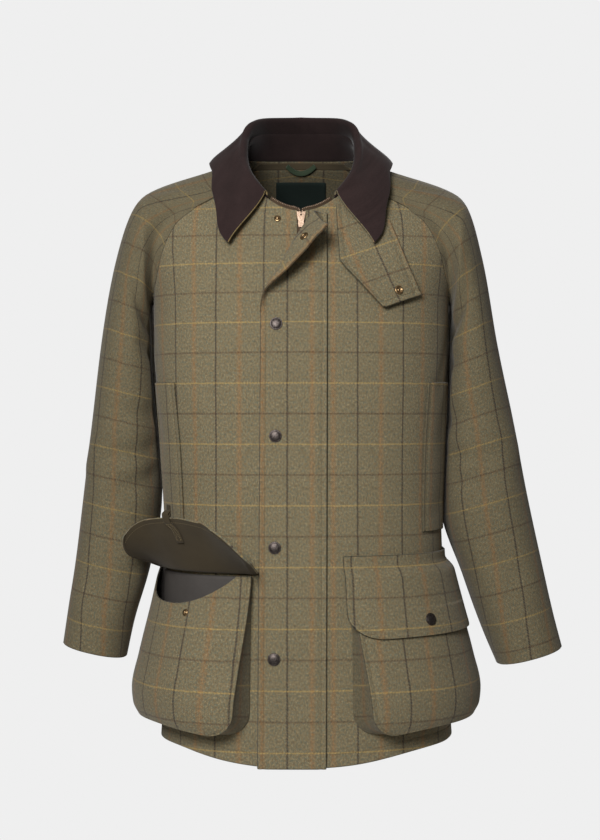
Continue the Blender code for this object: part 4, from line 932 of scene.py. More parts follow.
def stand_half(along, side):
    """Sections of half the stand, up from the neck seam."""
    _, neck, stand, _, _, _ = collar_sections(along, side)
    low = neck + np.array([0, 0, STAND_GAP])
    high = np.maximum(stand - np.array([0, 0, SEAM]), low + np.array([-9.0, -9.0, 0.0010]))
    level = np.linspace(0, 1, 9)
    lean = np.interp(level, STAND_LEVELS, STAND_LEAN)
    rise = np.column_stack([lean, lean, level])
    return low[:, None] + (high - low)[:, None] * rise[None]


def leaf_half(along, side):
    """Sections of half the leaf, up from the stand, over the roll and down to its edge."""
    q, _, stand, roll, radius, out = collar_sections(along, side)
    up = np.array([0.0, 0.0, 1.0])
    edge_q = collar_row(along, "edge_q")
    edge_height = collar_row(along, "edge_height")
    edge_off = collar_row(along, "edge_off") + COLLAR_WALL
    edge = off_body(edge_q, edge_height, side, edge_off)
    crown = roll - radius * up + radius * out
    section = [stand + np.array([0, 0, SEAM])]
    for turn in np.radians((0, 25, 50, 72, 95, 118, 140)):
        section.append(crown + radius * (-math.cos(turn) * out + math.sin(turn) * up))
    begin = crown + radius * out
    length = np.linalg.norm(edge - begin, axis=1)[:, None]
    chord = unit(edge - begin)
    pull_a = begin + length * 0.33 * unit(0.70 * chord - 0.60 * up + 0.30 * out)
    pull_b = edge - length * 0.30 * chord + 0.006 * out + 0.002 * up
    for t in np.concatenate([np.linspace(0, 0.93, 20), [0.965, 0.988, 1.0]]):
        point = ((1 - t) ** 3 * begin + 3 * t * (1 - t) ** 2 * pull_a
                 + 3 * t * t * (1 - t) * pull_b + t ** 3 * edge)
        under_q = q + (edge_q - q) * t
        under_h = NECK_HEIGHT + (edge_height - NECK_HEIGHT) * t
        normal = body_normal(under_q, np.minimum(under_h, NECK_HEIGHT - 0.001), side)
        clear = edge_off * ease(0.55 + t) * ease(t / 0.3)
        least = body(under_q, under_h, side) + clear[:, None] * normal
        short = np.maximum(((least - point) * normal).sum(axis=1), 0.0)
        section.append(point + short[:, None] * normal)
    return np.stack(section, axis=1)


def collar():
    """Stand and leaf."""
    stand = whole_ring(stand_half, 40)
    # Painted shade: the whole stand comes before its cut's start and takes the darker inside tone
    painted_inside_shade = plain_cut(stand) - np.array([PAINTED_SHADE_START, 0.0])
    cloth("collar_stand", stand, CLOTH, painted_inside_shade, "collar_cloth", LOOKS["collar"], flip=True,
          rests=["back_panel"])
    leaf = whole_ring(leaf_half, 56)
    cut = plain_cut(leaf)
    # Painted shade: the leaf's cut starts at the roll's crown, so the inside of the roll is darker
    cut[..., 0] -= cut[:, 4:5, 0]
    # Painted shade: the undercollar and the leaf's rim take a slightly darker copy of the tweed
    cloth("collar_leaf", leaf, COLLAR_WALL, cut, "collar_cloth", LOOKS["collar"], LOOKS["undercollar"],
          rim=LOOKS["undercollar"], ends_only=True, flip=True, held="folded", rests=["collar_stand"])


# Placket and zip

def placket_points(across, levels):
    """The placket, flat on the fronts below and rolled back towards its seam at the top."""
    level, share = np.meshgrid(levels, across, indexing="ij")
    down = (PLACKET_TOP - level) / (PLACKET_TOP - PLACKET_BOTTOM)
    seam = PLACKET_SEAM_X - PLACKET_LEAN * 0.5 * down
    edge = PLACKET_EDGE_X - PLACKET_LEAN * down
    x = seam + (edge - seam) * share
    foot_start = np.array([ROLL_TOP_X, PLACKET_TOP])
    foot_end = np.array([PLACKET_EDGE_X, ROLL_END_Z])
    line = unit(foot_end - foot_start)
    normal_2d = np.array([line[1], -line[0]])
    beyond = (x - foot_start[0]) * normal_2d[0] + (level - foot_start[1]) * normal_2d[1]
    off = DOUBLE + BODY_SEAT
    d = np.maximum(beyond, 0.0)
    base, normal, side_dir, up_dir = front(x - d * normal_2d[0], level - d * normal_2d[1], off)
    bend = np.minimum(d / PLACKET_ROLL, PLACKET_TURN)
    rest = np.maximum(d - PLACKET_ROLL * PLACKET_TURN, 0.0)
    inward = PLACKET_ROLL * np.sin(bend) + rest * math.cos(PLACKET_TURN)
    out = PLACKET_ROLL * (1 - np.cos(bend)) + rest * math.sin(PLACKET_TURN)
    away = side_dir * normal_2d[0] + up_dir * normal_2d[1]
    return base + away * inward[..., None] + normal * out[..., None], x, level


PLACKET_WIDTH = PLACKET_SEAM_X - PLACKET_EDGE_X
PLACKET_STRIPE_X = -0.0182


def placket():
    """Storm placket over the zip."""
    across = spread(26, PLACKET_WIDTH, EDGE_STITCH)
    length = PLACKET_TOP - PLACKET_BOTTOM
    levels = PLACKET_BOTTOM + length * spread(190, length, EDGE_STITCH)
    points, x, level = placket_points(across, levels)
    cut = np.stack([x - PLACKET_STRIPE_X, up_check(level)], axis=-1)
    dip = np.broadcast_to(groove(across, PLACKET_WIDTH, EDGE_STITCH)[None], points.shape[:2])
    normal = -grid_normal(points)
    for share in (EDGE_STITCH / PLACKET_WIDTH, 1 - EDGE_STITCH / PLACKET_WIDTH):
        i = nearest(across, share)
        sew(points[:, i] - STITCH_SINK * normal[:, i], normal[:, i])
    return tweed("placket", points, DOUBLE, cut, flip=True, relief=dip, held="folded",
                 rests=["right_front", "left_front"])


def zip_path(side):
    """Front edge of one front, up the zip and out along the neck to the collar's end."""
    heights = np.concatenate([
        np.linspace(TAPE_FOOT, -0.10, 60)[:-1], np.linspace(-0.10, NECK_HEIGHT - SEAM, 24)])
    rise_q = q_at_x(np.full_like(heights, FRONT_EDGE), heights)
    rise = body(rise_q, heights, side)
    end = float(q_at_x(COLLAR_FRONT_X - 0.003, np.array(NECK_HEIGHT)))
    neck_q = np.linspace(rise_q[-1], end, 12)[1:]
    neck = body(neck_q, np.full(11, NECK_HEIGHT - SEAM), side)
    path = np.concatenate([rise, neck])
    towards = np.zeros_like(path)
    towards[:, 0] = -side
    count = len(rise)
    swing = ease(np.linspace(0.5, 1.0, 12))[1:]
    towards[count:, 0] = -side * (1 - swing) * 0.6
    towards[count:, 2] = 1.0
    towards[count - 1] = (-side * 0.85, 0.0, 0.55)
    along = unit(np.gradient(path, axis=0))
    kept = towards - along * (towards * along).sum(axis=1)[:, None]
    kept[count - 1] = towards[count - 1]
    return path, unit(kept)


TEETH = []


def zip_tapes():
    """Zip tapes beside the edges of the fronts, with places for the teeth."""
    inset = np.array([0.0, CLOTH * 0.4, 0.0])
    for name, side in (("right_zip_tape", RIGHT), ("left_zip_tape", LEFT)):
        path, towards = zip_path(side)
        share = np.linspace(SEAM, TAPE_WIDTH, 5)
        points = path[:, None] + towards[:, None] * share[None, :, None] + inset
        cloth(name, points, TAPE_WALL, plain_cut(points), "zip_tape", LOOKS["tape"], flip=side > 0,
              rests=["right_front" if side < 0 else "left_front"])
        edge = path + towards * (TAPE_WIDTH - 0.0008) + inset
        run = way_along(edge)
        at = np.arange(TOOTH_START, run[-1] - TOOTH_START, TOOTH_PITCH)
        at = at + (TOOTH_PITCH / 2 if side > 0 else 0.0)
        place = at_way(at, run, edge)
        along = unit(np.gradient(place, axis=0))
        over = unit(at_way(at, run, towards))
        face = unit(np.cross(along, over)) * (1 if side < 0 else -1)
        TEETH.append((place - 0.0004 * face, over, face))


# Throat tab

def tab_points(across, down):
    """The throat tab, lying a little off the left front."""
    top_a, top_b = (np.array(p) for p in TAB_TOP)
    end_a, end_b = (np.array(p) for p in TAB_END)
    point = np.array(TAB_POINT)
    v, u = np.meshgrid(down, across, indexing="ij")
    u2, v2 = u[..., None], v[..., None]
    top = top_a + (top_b - top_a) * u2
    low_a = end_a + (point - end_a) * np.clip(u2 / TAB_TURN, 0, 1)
    low_b = point + (end_b - point) * np.clip((u2 - TAB_TURN) / (1 - TAB_TURN), 0, 1)
    low = np.where(u2 < TAB_TURN, low_a, low_b)
    flat = top + (low - top) * v2
    off = BODY_SEAT + DOUBLE + TAB_OFF * v * v
    return front(flat[..., 0], flat[..., 1], off)[0], flat


TAB_WIDTH = 0.09
TAB_LENGTH = 0.11
TAB_GRAIN = math.radians(21.3)
TAB_STRIPE = (0.0817, -0.0700)
TAB_BAR = (0.0586, -0.1340)


def throat_tab():
    """Throat tab, with its grain on the slant."""
    across = spread(24, TAB_WIDTH, EDGE_STITCH)
    down = spread(30, TAB_LENGTH, EDGE_STITCH, (False, True))
    points, flat = tab_points(across, down)
    grain = np.array([math.cos(TAB_GRAIN), math.sin(TAB_GRAIN)])
    up = np.array([-grain[1], grain[0]])
    cut = np.stack([(flat - np.array(TAB_STRIPE)) @ grain, (flat - np.array(TAB_BAR)) @ up], axis=-1)
    dip = groove(across, TAB_WIDTH, EDGE_STITCH)[None]
    dip = dip + groove(down, TAB_LENGTH, EDGE_STITCH, (False, True))[:, None]
    normal = -grid_normal(points)
    i = nearest(across, EDGE_STITCH / TAB_WIDTH)
    k = nearest(across, 1 - EDGE_STITCH / TAB_WIDTH)
    j = nearest(down, 1 - EDGE_STITCH / TAB_LENGTH)
    sunk = points - STITCH_SINK * normal
    sew_round(sunk, normal, i, k, j)
    return tweed("throat_tab", points, DOUBLE, cut, flip=True, relief=dip, rests=["collar_leaf"])


# Bellows pockets

POCKET_LENGTH = POCKET_TOP - POCKET_BOTTOM
POCKET_WIDTH = 0.225
POCKET_SHIFT = {RIGHT: 0.0775, LEFT: 0.0590}
FLAP_SHIFT = 0.0660


def bulge(down):
    """How far the pocket front stands off the body."""
    return smooth(down, column(BULGE, BULGE_COLUMNS, "down"), column(BULGE, BULGE_COLUMNS, "off"))


def corner_inset(down, length, corner):
    """How much a rounded lower corner takes off each side, in metres."""
    into = np.clip((down - (1 - corner / length)) * length / corner, 0, 1)
    return corner * (1 - np.sqrt(np.maximum(1 - into * into, 0.0)))


def pocket_place(u, v, narrow):
    """Ring place and height of a pocket point; the bellows front narrows towards its foot."""
    inset = corner_inset(v, POCKET_LENGTH, POCKET_CORNER) / POCKET_WIDTH
    share = inset + (1 - 2 * inset) * u
    squeeze = narrow * ease(v)
    share = share * (1 - squeeze) + 0.5 * squeeze
    q = POCKET_Q[0] + (POCKET_Q[1] - POCKET_Q[0]) * share
    return q, POCKET_TOP - POCKET_LENGTH * v


def pocket_front(u, v, side, extra=0.0):
    """Outer face of the pocket front."""
    q, height = pocket_place(u, v, POCKET_NARROW)
    return off_body(q, height, side, CLOTH + bulge(v) + extra)


def scoop(u):
    """Top edge of the pocket front, dipped in the middle."""
    low, high = SCOOP_SPAN
    t = np.clip((u - low) / (high - low), 0, 1)
    return SCOOP_DEPTH / POCKET_LENGTH * (1 - np.abs(2 * t - 1) ** 2.6)


def pocket_rows():
    """Shares down a pocket, closer round its lower corners."""
    return np.unique(np.concatenate([
        [0.0, 0.006, 0.016], np.linspace(0.03, 0.84, 34),
        1 - 0.16 * (1 - np.sin(np.linspace(0, math.pi / 2, 22)))]))


def bellows_pocket(prefix, side):
    """Front and gusset of one bellows pocket."""
    down = pocket_rows()
    run = spread(44, POCKET_WIDTH, POCKET_STITCH)
    v, u = np.meshgrid(down, run, indexing="ij")
    v = scoop(u) + (1 - scoop(u)) * v
    points = pocket_front(u, v, side)
    q, height = pocket_place(u, v, 0.35 * POCKET_NARROW)
    cut = matched(q, height, side, form(q, height, side)[..., 2], POCKET_SHIFT[side])
    dip = np.broadcast_to(groove(run, POCKET_WIDTH, POCKET_STITCH)[None], u.shape)
    tweed(prefix + "_front", points, CLOTH, cut, LOOKS["nylon"], flip=side > 0, relief=dip,
          rests=[prefix + "_gusset"])
    normal = grid_normal(points) * (-1 if side > 0 else 1)
    sunk = points - STITCH_SINK * normal
    i = nearest(run, POCKET_STITCH / POCKET_WIDTH)
    k = nearest(run, 1 - POCKET_STITCH / POCKET_WIDTH)
    j = nearest(down, 1 - POCKET_STITCH / POCKET_LENGTH)
    sew_round(sunk, normal, i, k, j)
    edge_u = np.concatenate([np.zeros(len(down)), run[1:-1], np.ones(len(down))])
    edge_v = np.concatenate([down, np.ones(len(run) - 2), down[::-1]])
    q, height = pocket_place(edge_u, edge_v, POCKET_NARROW)
    top = off_body(q, height, side, bulge(edge_v) - BODY_SEAT)
    q, height = pocket_place(edge_u, edge_v, 0.0)
    foot = off_body(q, height, side, GUSSET_FOOT)
    q, height = pocket_place(np.full_like(edge_u, 0.5), np.minimum(edge_v, 0.8), 0.0)
    middle = off_body(q, height, side, 0.5 * bulge(edge_v))
    fold = 0.5 * (foot + top) + GUSSET_SAG * bulge(edge_v)[:, None] * unit(middle - 0.5 * (foot + top))
    rows = np.array([(1 - t) ** 2 * foot + 2 * t * (1 - t) * fold + t * t * top
                     for t in spread(9, 0.04)])
    gusset = plain_cut(rows)[..., ::-1] + np.array(GUSSET_CUT)
    # Painted shade: the gusset takes a darker copy of the tweed
    cloth(prefix + "_gusset", rows, CLOTH, gusset, "tweed", LOOKS["gusset"], LOOKS["nylon"], flip=side < 0,
          held="folded", rests=[("left" if side > 0 else "right") + "_front"])


def flap_place(u, v, reach):
    """Ring place of a flap point with rounded lower corners."""
    inset = corner_inset(v, FLAP_DROP, FLAP_CORNER) / FLAP_WIDTH
    share = inset + (1 - 2 * inset) * u
    return FLAP_START_Q + (reach - FLAP_START_Q) * share


def flap_off(height):
    """How far the closed flap stands off the body: on it at the band, then over the pocket."""
    into = np.clip((POCKET_TOP - height) / POCKET_LENGTH, 0, 1)
    over = ease((FLAP_TOP - BAND * 0.6 - height) / 0.020)
    return BODY_SEAT + DOUBLE + over * (bulge(into) + CLOTH + FLAP_CLEAR)


def flap_rows():
    """Shares down a flap, closer at its band and round its lower corners."""
    return np.unique(np.concatenate([
        [0.0, 0.010, 0.028], np.linspace(0.05, 0.66, 26),
        1 - 0.34 * (1 - np.sin(np.linspace(0, math.pi / 2, 22)))]))


def closed_flap():
    """Left pocket flap, down over the pocket."""
    down = flap_rows()
    run = spread(46, FLAP_WIDTH, EDGE_STITCH)
    v, u = np.meshgrid(down, run, indexing="ij")
    height = FLAP_TOP - FLAP_DROP * v
    q = flap_place(u, v, FLAP_END_Q)
    points = off_body(q, height, LEFT, flap_off(height))
    cut = matched(q, height, LEFT, form(q, height, LEFT)[..., 2], FLAP_SHIFT)
    normal = -grid_normal(points)
    sunk = points - SHALLOW_SINK * normal
    for level in (0.0022, BAND - 0.0012):
        j = nearest(down, level / FLAP_DROP)
        sew(sunk[j], normal[j])
    i = nearest(run, EDGE_STITCH / FLAP_WIDTH)
    k = nearest(run, 1 - EDGE_STITCH / FLAP_WIDTH)
    j = nearest(down, 1 - EDGE_STITCH / FLAP_DROP)
    sew_round(sunk, normal, i, k, j)
    dip = groove(run, FLAP_WIDTH, EDGE_STITCH)[None] - 0.0006 * np.exp(
        -((down[:, None] * FLAP_DROP - BAND) / 0.0025) ** 2)
    tweed("left_pocket_flap", points, DOUBLE, cut, LOOKS["olive"], flip=True, relief=dip,
          rests=["left_front", "left_pocket_front"])


def lifted_points(across, run):
    """Right pocket flap turned up: run is the distance down the flap from its top edge."""
    r, u = np.meshgrid(run, across, indexing="ij")
    q = flap_place(u, r / FLAP_DROP, LIFT_END_Q)
    hinge = FLAP_TOP - BAND
    normal = body_normal(q, np.full_like(q, hinge), RIGHT)
    forward = np.array(LIFT_HEADING)
    share = (q - FLAP_START_Q) / (LIFT_END_Q - FLAP_START_Q)
    lean = LIFT_FORWARD * ease((share - LIFT_LEAN_START) / (1 - LIFT_LEAN_START))[..., None]
    out = unit(normal * (1 - lean) + forward * lean)
    places, degrees = np.array(LIFT_TURNS, dtype=float).T
    turn_end = np.radians(smooth(share, places, degrees))
    d = np.maximum(r - BAND, 0.0)
    bend = np.minimum(d / LIFT_ROLL, turn_end)
    rest = np.maximum(d - LIFT_ROLL * turn_end, 0.0)
    fall = LIFT_ROLL * np.sin(bend) + rest * np.cos(turn_end)
    away = LIFT_ROLL * (1 - np.cos(bend)) + rest * np.sin(turn_end)
    base = off_body(q, np.maximum(FLAP_TOP - r, hinge), RIGHT, DOUBLE + BODY_SEAT)
    return base + out * away[..., None] - fall[..., None] * np.array([0.0, 0.0, 1.0]), q


def lifted_flap():
    """Right pocket flap, turned up."""
    roll_end = BAND + LIFT_ROLL * LIFT_TURN
    run = np.unique(np.concatenate([
        [0.0, 0.001, 0.003], np.linspace(0.005, BAND, 6), np.linspace(BAND, roll_end, 12),
        np.linspace(roll_end, FLAP_DROP - 0.03, 16),
        FLAP_DROP - 0.03 * (1 - np.sin(np.linspace(0, math.pi / 2, 20)))]))
    across = spread(46, FLAP_WIDTH, EDGE_STITCH)
    points, q = lifted_points(across, run)
    height = np.broadcast_to((FLAP_TOP - run)[:, None], q.shape)
    cut = matched(q, height, RIGHT, form(q, height, RIGHT)[..., 2], POCKET_SHIFT[RIGHT])
    dip = np.broadcast_to(groove(across, FLAP_WIDTH, EDGE_STITCH)[None], q.shape)
    cloth("right_pocket_flap", points, DOUBLE, cut, "tweed", LOOKS["tweed"], LOOKS["olive"], relief=dip,
          held="folded", rests=["right_front", "right_flap_strap"])
    normal = grid_normal(points)
    under = points - (DOUBLE - 0.0002) * normal
    i = nearest(across, EDGE_STITCH / FLAP_WIDTH)
    k = nearest(across, 1 - EDGE_STITCH / FLAP_WIDTH)
    j = nearest(run, FLAP_DROP - EDGE_STITCH)
    start = nearest(run, roll_end)
    sew_round(under, -normal, i, k, j, start)


def hold_strap():
    """Strap from the under face of the lifted flap, over its edge and back to the coat."""
    share = np.array([STRAP_SHARE, STRAP_SHARE + 0.02])
    flap = lifted_points(share, FLAP_DROP - STRAP_HOLD * np.array([1.0, 0.5, 0.0]))[0]
    across = unit(flap[0, 1] - flap[0, 0])
    along = unit(flap[1, 0] - flap[0, 0])
    under = unit(np.cross(across, along))
    if under[1] > 0:
        under = -under
    below = under * (DOUBLE + STRAP_WALL + BODY_SEAT)
    tip = flap[2, 0]
    path = [flap[0, 0] + below, flap[1, 0] + below, tip - along * 0.002 + 1.25 * below]
    path.append(tip + along * 0.0075 + under * 0.0040)
    path.append(tip + along * 0.0085 - under * 0.0050)
    start_q, start_h = front_place(np.array(STRAP_TOP[0]), np.array(STRAP_TOP[1]))
    for drop, clear in STRAP_LANDING:
        off = np.array(CLOTH + STRAP_WALL + 2 * BODY_SEAT + clear)
        path.append(off_body(start_q, start_h - drop, RIGHT, off))
    path = np.array(path)
    body_across = body(start_q + 0.02, start_h, RIGHT) - body(start_q - 0.02, start_h, RIGHT)
    swing = np.linspace(0, 1, len(path))[:, None] ** 2
    wide = unit(across * (1 - swing) + unit(body_across) * swing) * STRAP_WIDTH / 2
    fine = np.linspace(0, len(path) - 1, 60)
    knots = np.arange(len(path), dtype=float)
    middle = smooth(fine, knots, path)
    wide = smooth(fine, knots, wide)
    points = middle[:, None] + wide[:, None] * np.linspace(-1, 1, 9)[None, :, None]
    cloth("right_flap_strap", points, STRAP_WALL, plain_cut(points), "olive_cloth", LOOKS["olive"], flip=True,
          held="folded", rests=["right_pocket_flap", "right_front"])
    normal = -grid_normal(points)
    corners = ((2, 1), (2, 7), (14, 1), (14, 7))
    for a, b in ((0, 2), (1, 3), (0, 1), (2, 3), (0, 3), (1, 2)):
        a, b = corners[a], corners[b]
        t = np.linspace(0, 1, 12)
        j = np.round(a[0] + (b[0] - a[0]) * t).astype(int)
        i = np.round(a[1] + (b[1] - a[1]) * t).astype(int)
        sew(points[j, i], normal[j, i], pitch=0.0026)


def pocket_lining():
    """Lining inside the open pocket."""
    v, u = np.meshgrid(np.linspace(0.0, 0.86, 40), np.linspace(0.05, 0.95, 50), indexing="ij")
    q, height = pocket_place(u, v, 0.0)
    points = off_body(q, height, RIGHT, FACING_WALL + BODY_SEAT)
    cloth("right_pocket_lining", points, FACING_WALL, plain_cut(points), "pocket_nylon", LOOKS["nylon"],
          rests=["right_front"])


def welts():
    """Upright welts beside the side seams."""
    levels = WELT_HEIGHTS[0] + (WELT_HEIGHTS[1] - WELT_HEIGHTS[0]) * spread(40, WELT_LENGTH, WELT_STITCH)
    for name, side in (("right_welt", RIGHT), ("left_welt", LEFT)):
        end = raglan_q(levels, False)
        start = q_at_x(np.full_like(levels, FRONT_EDGE), levels)
        step = (end - start) / FRONT_STEPS
        share = spread(16, WELT_WIDTH, WELT_STITCH)
        q = (end - (WELT_STEPS + 1) * step)[:, None] + (WELT_STEPS * step)[:, None] * share[None]
        height = np.broadcast_to(levels[:, None], q.shape)
        points = off_body(q, height, side, CLOTH + BODY_SEAT)
        cut = matched(q, height, side, points[..., 2], FRONT_SHIFT[side] + WELT_SHIFT)
        tweed(name, points, CLOTH, cut, flip=side < 0,
              relief=np.broadcast_to(groove(share, WELT_WIDTH, WELT_STITCH)[None], q.shape),
              rests=["right_front" if side < 0 else "left_front"])
        normal = body_normal(q, height, side)
        i = nearest(share, WELT_STITCH / WELT_WIDTH)
        sew(points[:, i] - STITCH_SINK * normal[:, i], normal[:, i])
        for j in (3, -4):
            sew(points[j, i:] - 0.0002 * normal[j, i:], normal[j, i:])


# Inside the back of the neck

def inner_rows(low, high, rows, columns, span, inwards):
    """A sheet inside the back, over shares of the panel's width each side of the centre."""
    levels = np.linspace(low, high, rows)
    end = raglan_q(levels, True)
    share = np.linspace(0, span, columns)
    q = 2.0 + (end - 2.0)[:, None] * share[None]
    height = np.broadcast_to(levels[:, None], q.shape)
    left = off_body(q, height, LEFT, -inwards)
    right = off_body(q, height, RIGHT, -inwards)
    return np.concatenate([right[:, ::-1], left[:, 1:]], axis=1)


def cad_heights():
    """Row heights of the neck pieces, even along the raglan seam."""
    fine = np.linspace(UNDERARM_HEIGHT, NECK_HEIGHT - SEAM, 200)
    seam = form(raglan_q(fine, False), fine, LEFT)
    run = way_along(seam)
    return np.interp(np.linspace(0, run[-1], RAGLAN_STEPS + 1), run, fine)


def neck_inside():
    """Neck band, back facing and bare label."""
    heights = cad_heights()
    depth = CLOTH + FACING_WALL + SEAT
    band = inner_rows(heights[-2] + SEAM, heights[-1] - 0.001, 8, 26, 0.8, depth)
    cloth("neck_band", band, FACING_WALL, plain_cut(band), "olive_cloth", LOOKS["olive"],
          rests=["back_panel"])
    facing = inner_rows(heights[-5], heights[-2] - SEAM, 20, 26, 0.7, depth)
    middle = facing.shape[1] // 2
    cut = plain_cut(facing)
    cut = cut - cut[:, middle:middle + 1] * np.array([1.0, 0.0]) + np.array([STRIPE / 2, 0.03])
    # Painted shade: the back facing inside the neck is cut from the darker tweed
    cloth("back_facing", facing, FACING_WALL, cut, "tweed", LOOKS["facing"], rests=["back_panel"])
    levels = np.linspace(LABEL_HEIGHTS[0], LABEL_HEIGHTS[1], 14)
    x = np.linspace(-LABEL_HALF, LABEL_HALF, 25)
    height, over = np.meshgrid(levels, x, indexing="ij")
    q = q_at_x(over, height, True)
    depth = depth + FACING_WALL + BODY_SEAT
    right = off_body(q, height, RIGHT, -depth)
    left = off_body(q, height, LEFT, -depth)
    points = np.where((over < 0)[..., None], right, left)
    cloth("label", points, FACING_WALL, plain_cut(points), "label_cloth", LOOKS["label"],
          rests=["back_facing"])


def hanger_loop():
    """Hanger loop: a flat braid below the neck seam at the centre back."""
    depth = CLOTH + FACING_WALL + LOOP_RADIUS + 2 * SEAT
    s = np.linspace(-1, 1, 60)
    height = NECK_HEIGHT - 0.004 - LOOP_SAG * (1 - s * s)
    q = q_at_x(np.abs(s) * LOOP_HALF, height, True)
    right = off_body(q, height, RIGHT, -depth)
    left = off_body(q, height, LEFT, -depth)
    path = np.where((s < 0)[:, None], right, left)
    along = unit(np.gradient(path, axis=0))
    out = unit(np.cross(along, np.array([0.0, 0.0, 1.0])))
    up = np.cross(out, along)
    angle = np.linspace(0, 2 * math.pi, 13)[:-1, None]
    thin, tall = LOOP_FLATNESS
    oval = thin * np.cos(angle) * out[:, None] + tall * np.sin(angle) * up[:, None]
    ring_points = path[:, None] + LOOP_RADIUS * oval
    count = len(angle)
    verts = ring_points.reshape(-1, 3).tolist()
    faces = []
    for j in range(len(s) - 1):
        for i in range(count):
            n = (i + 1) % count
            faces.append((j * count + i, j * count + n, (j + 1) * count + n, (j + 1) * count + i))
    faces.append(tuple(range(count))[::-1])
    faces.append(tuple((len(s) - 1) * count + i for i in range(count)))
    return solid("hanger_loop", verts, faces, LOOKS["loop"])


def solid(name, verts, faces, finish):
    """A closed mesh with smooth faces, riding on the coat."""
    mesh = bpy.data.meshes.new(name)
    mesh.from_pydata(verts, [], faces)
    mesh.materials.append(finish)
    mesh.polygons.foreach_set("use_smooth", np.ones(len(mesh.polygons), dtype=bool))
    mesh.update()
    item = bpy.data.objects.new("detail_" + name, mesh)
    bpy.context.scene.collection.objects.link(item)
    turn_out(item)
    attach(item, "coat")
    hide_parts(name)
    return item


def turn_out(item):
    """Faces of a closed mesh point outwards."""
    work = bmesh.new()
    work.from_mesh(item.data)
    bmesh.ops.recalc_face_normals(work, faces=work.faces)
    work.to_mesh(item.data)
    work.free()


# Finishes

def srgb(*shades):
    """Colour as the eye reads it, 0 to 255, as the shader's own numbers."""
    part = [s / 255 for s in shades]
    return tuple(p / 12.92 if p <= 0.04045 else ((p + 0.055) / 1.055) ** 2.4 for p in part)


class Value:
    """A socket of a finish; sums written with it become Math nodes."""

    def __init__(self, look, socket):
        self.look = look
        self.socket = socket

    def sum(self, operation, a, b):
        return self.look.node("ShaderNodeMath", {"operation": operation}, {0: a, 1: b})

    def __add__(self, other):
        return self.sum("ADD", self, other)

    def __radd__(self, other):
        return self.sum("ADD", other, self)

    def __sub__(self, other):
        return self.sum("SUBTRACT", self, other)

    def __mul__(self, other):
        return self.sum("MULTIPLY", self, other)

    def __rmul__(self, other):
        return self.sum("MULTIPLY", other, self)


class Look:
    """A finish made of nodes."""

    def __init__(self, name):
        self.material = bpy.data.materials.new(name)
        self.material.use_nodes = True
        self.tree = self.material.node_tree
        self.tree.nodes.clear()

    def node(self, kind, settings=None, values=None, out=0):
        """One node: its settings first, then its sockets' values and links."""
        made = self.tree.nodes.new(kind)
        for key, value in (settings or {}).items():
            setattr(made, key, value)
        for key, value in (values or {}).items():
            if isinstance(value, Value):
                self.tree.links.new(value.socket, made.inputs[key])
            else:
                made.inputs[key].default_value = value
        return Value(self, made.outputs[out]) if made.outputs else None

    def cut(self):
        """Way over and way up the piece's cut."""
        place = self.node("ShaderNodeUVMap", {"uv_map": "cut"})
        parts = self.node("ShaderNodeSeparateXYZ", None, {0: place})
        return parts, Value(self, parts.socket.node.outputs[1])

    def spot(self, u, v, over, up):
        """Place for a grain on the cut, with its own scale each way."""
        return self.node("ShaderNodeCombineXYZ", None, {0: u * over, 1: v * up})

    def solid(self):
        """Place in the piece itself."""
        return self.node("ShaderNodeTexCoord", None, None, "Object")

    def grain(self, place, scale, detail=2.0, rough=0.5):
        """Even grain from 0 to 1."""
        return self.node("ShaderNodeTexNoise", None,
                         {"Vector": place, "Scale": scale, "Detail": detail, "Roughness": rough})

    def span(self, value, low, high, to_low=0.0, to_high=1.0):
        """A stretch of values laid over another."""
        return self.node("ShaderNodeMapRange", {"clamp": True},
                         {0: value, 1: low, 2: high, 3: to_low, 4: to_high})

    def mix(self, share, a, b, way="MIX"):
        """Two colours mixed."""
        full = [c if isinstance(c, Value) else (*c[:3], 1.0) for c in (a, b)]
        return self.node("ShaderNodeMix", {"data_type": "RGBA", "blend_type": way},
                         {0: share, 6: full[0], 7: full[1]}, 2)

    def near(self, value, repeat, start=0.0):
        """Distance to the nearest line of a repeat."""
        return self.node("ShaderNodeMath", {"operation": "PINGPONG"}, {0: value - start, 1: repeat / 2})

    def wave(self, value):
        """Even wave from -1 to 1."""
        return self.node("ShaderNodeMath", {"operation": "SINE"}, {0: value})

    def darker(self, colour, tone):
        """Colour times a grey tone."""
        grey = self.node("ShaderNodeCombineColor", None, {0: tone, 1: tone, 2: tone})
        return self.mix(1.0, colour, grey, "MULTIPLY")

    def end(self, colour, roughness, height=None, strength=0.3, distance=0.0005, metallic=None,
            alpha=None, fixed=None):
        """Shader and output."""
        values = {"Base Color": colour, "Roughness": roughness}
        if metallic is not None:
            values["Metallic"] = metallic
        if alpha is not None:
            values["Alpha"] = alpha
        if height is not None:
            values["Normal"] = self.node("ShaderNodeBump", None,
                                         {"Strength": strength, "Distance": distance, "Height": height})
        values.update(fixed or {})
        shader = self.node("ShaderNodeBsdfPrincipled", None, values)
        self.node("ShaderNodeOutputMaterial", None, {"Surface": shader})
        return self.material


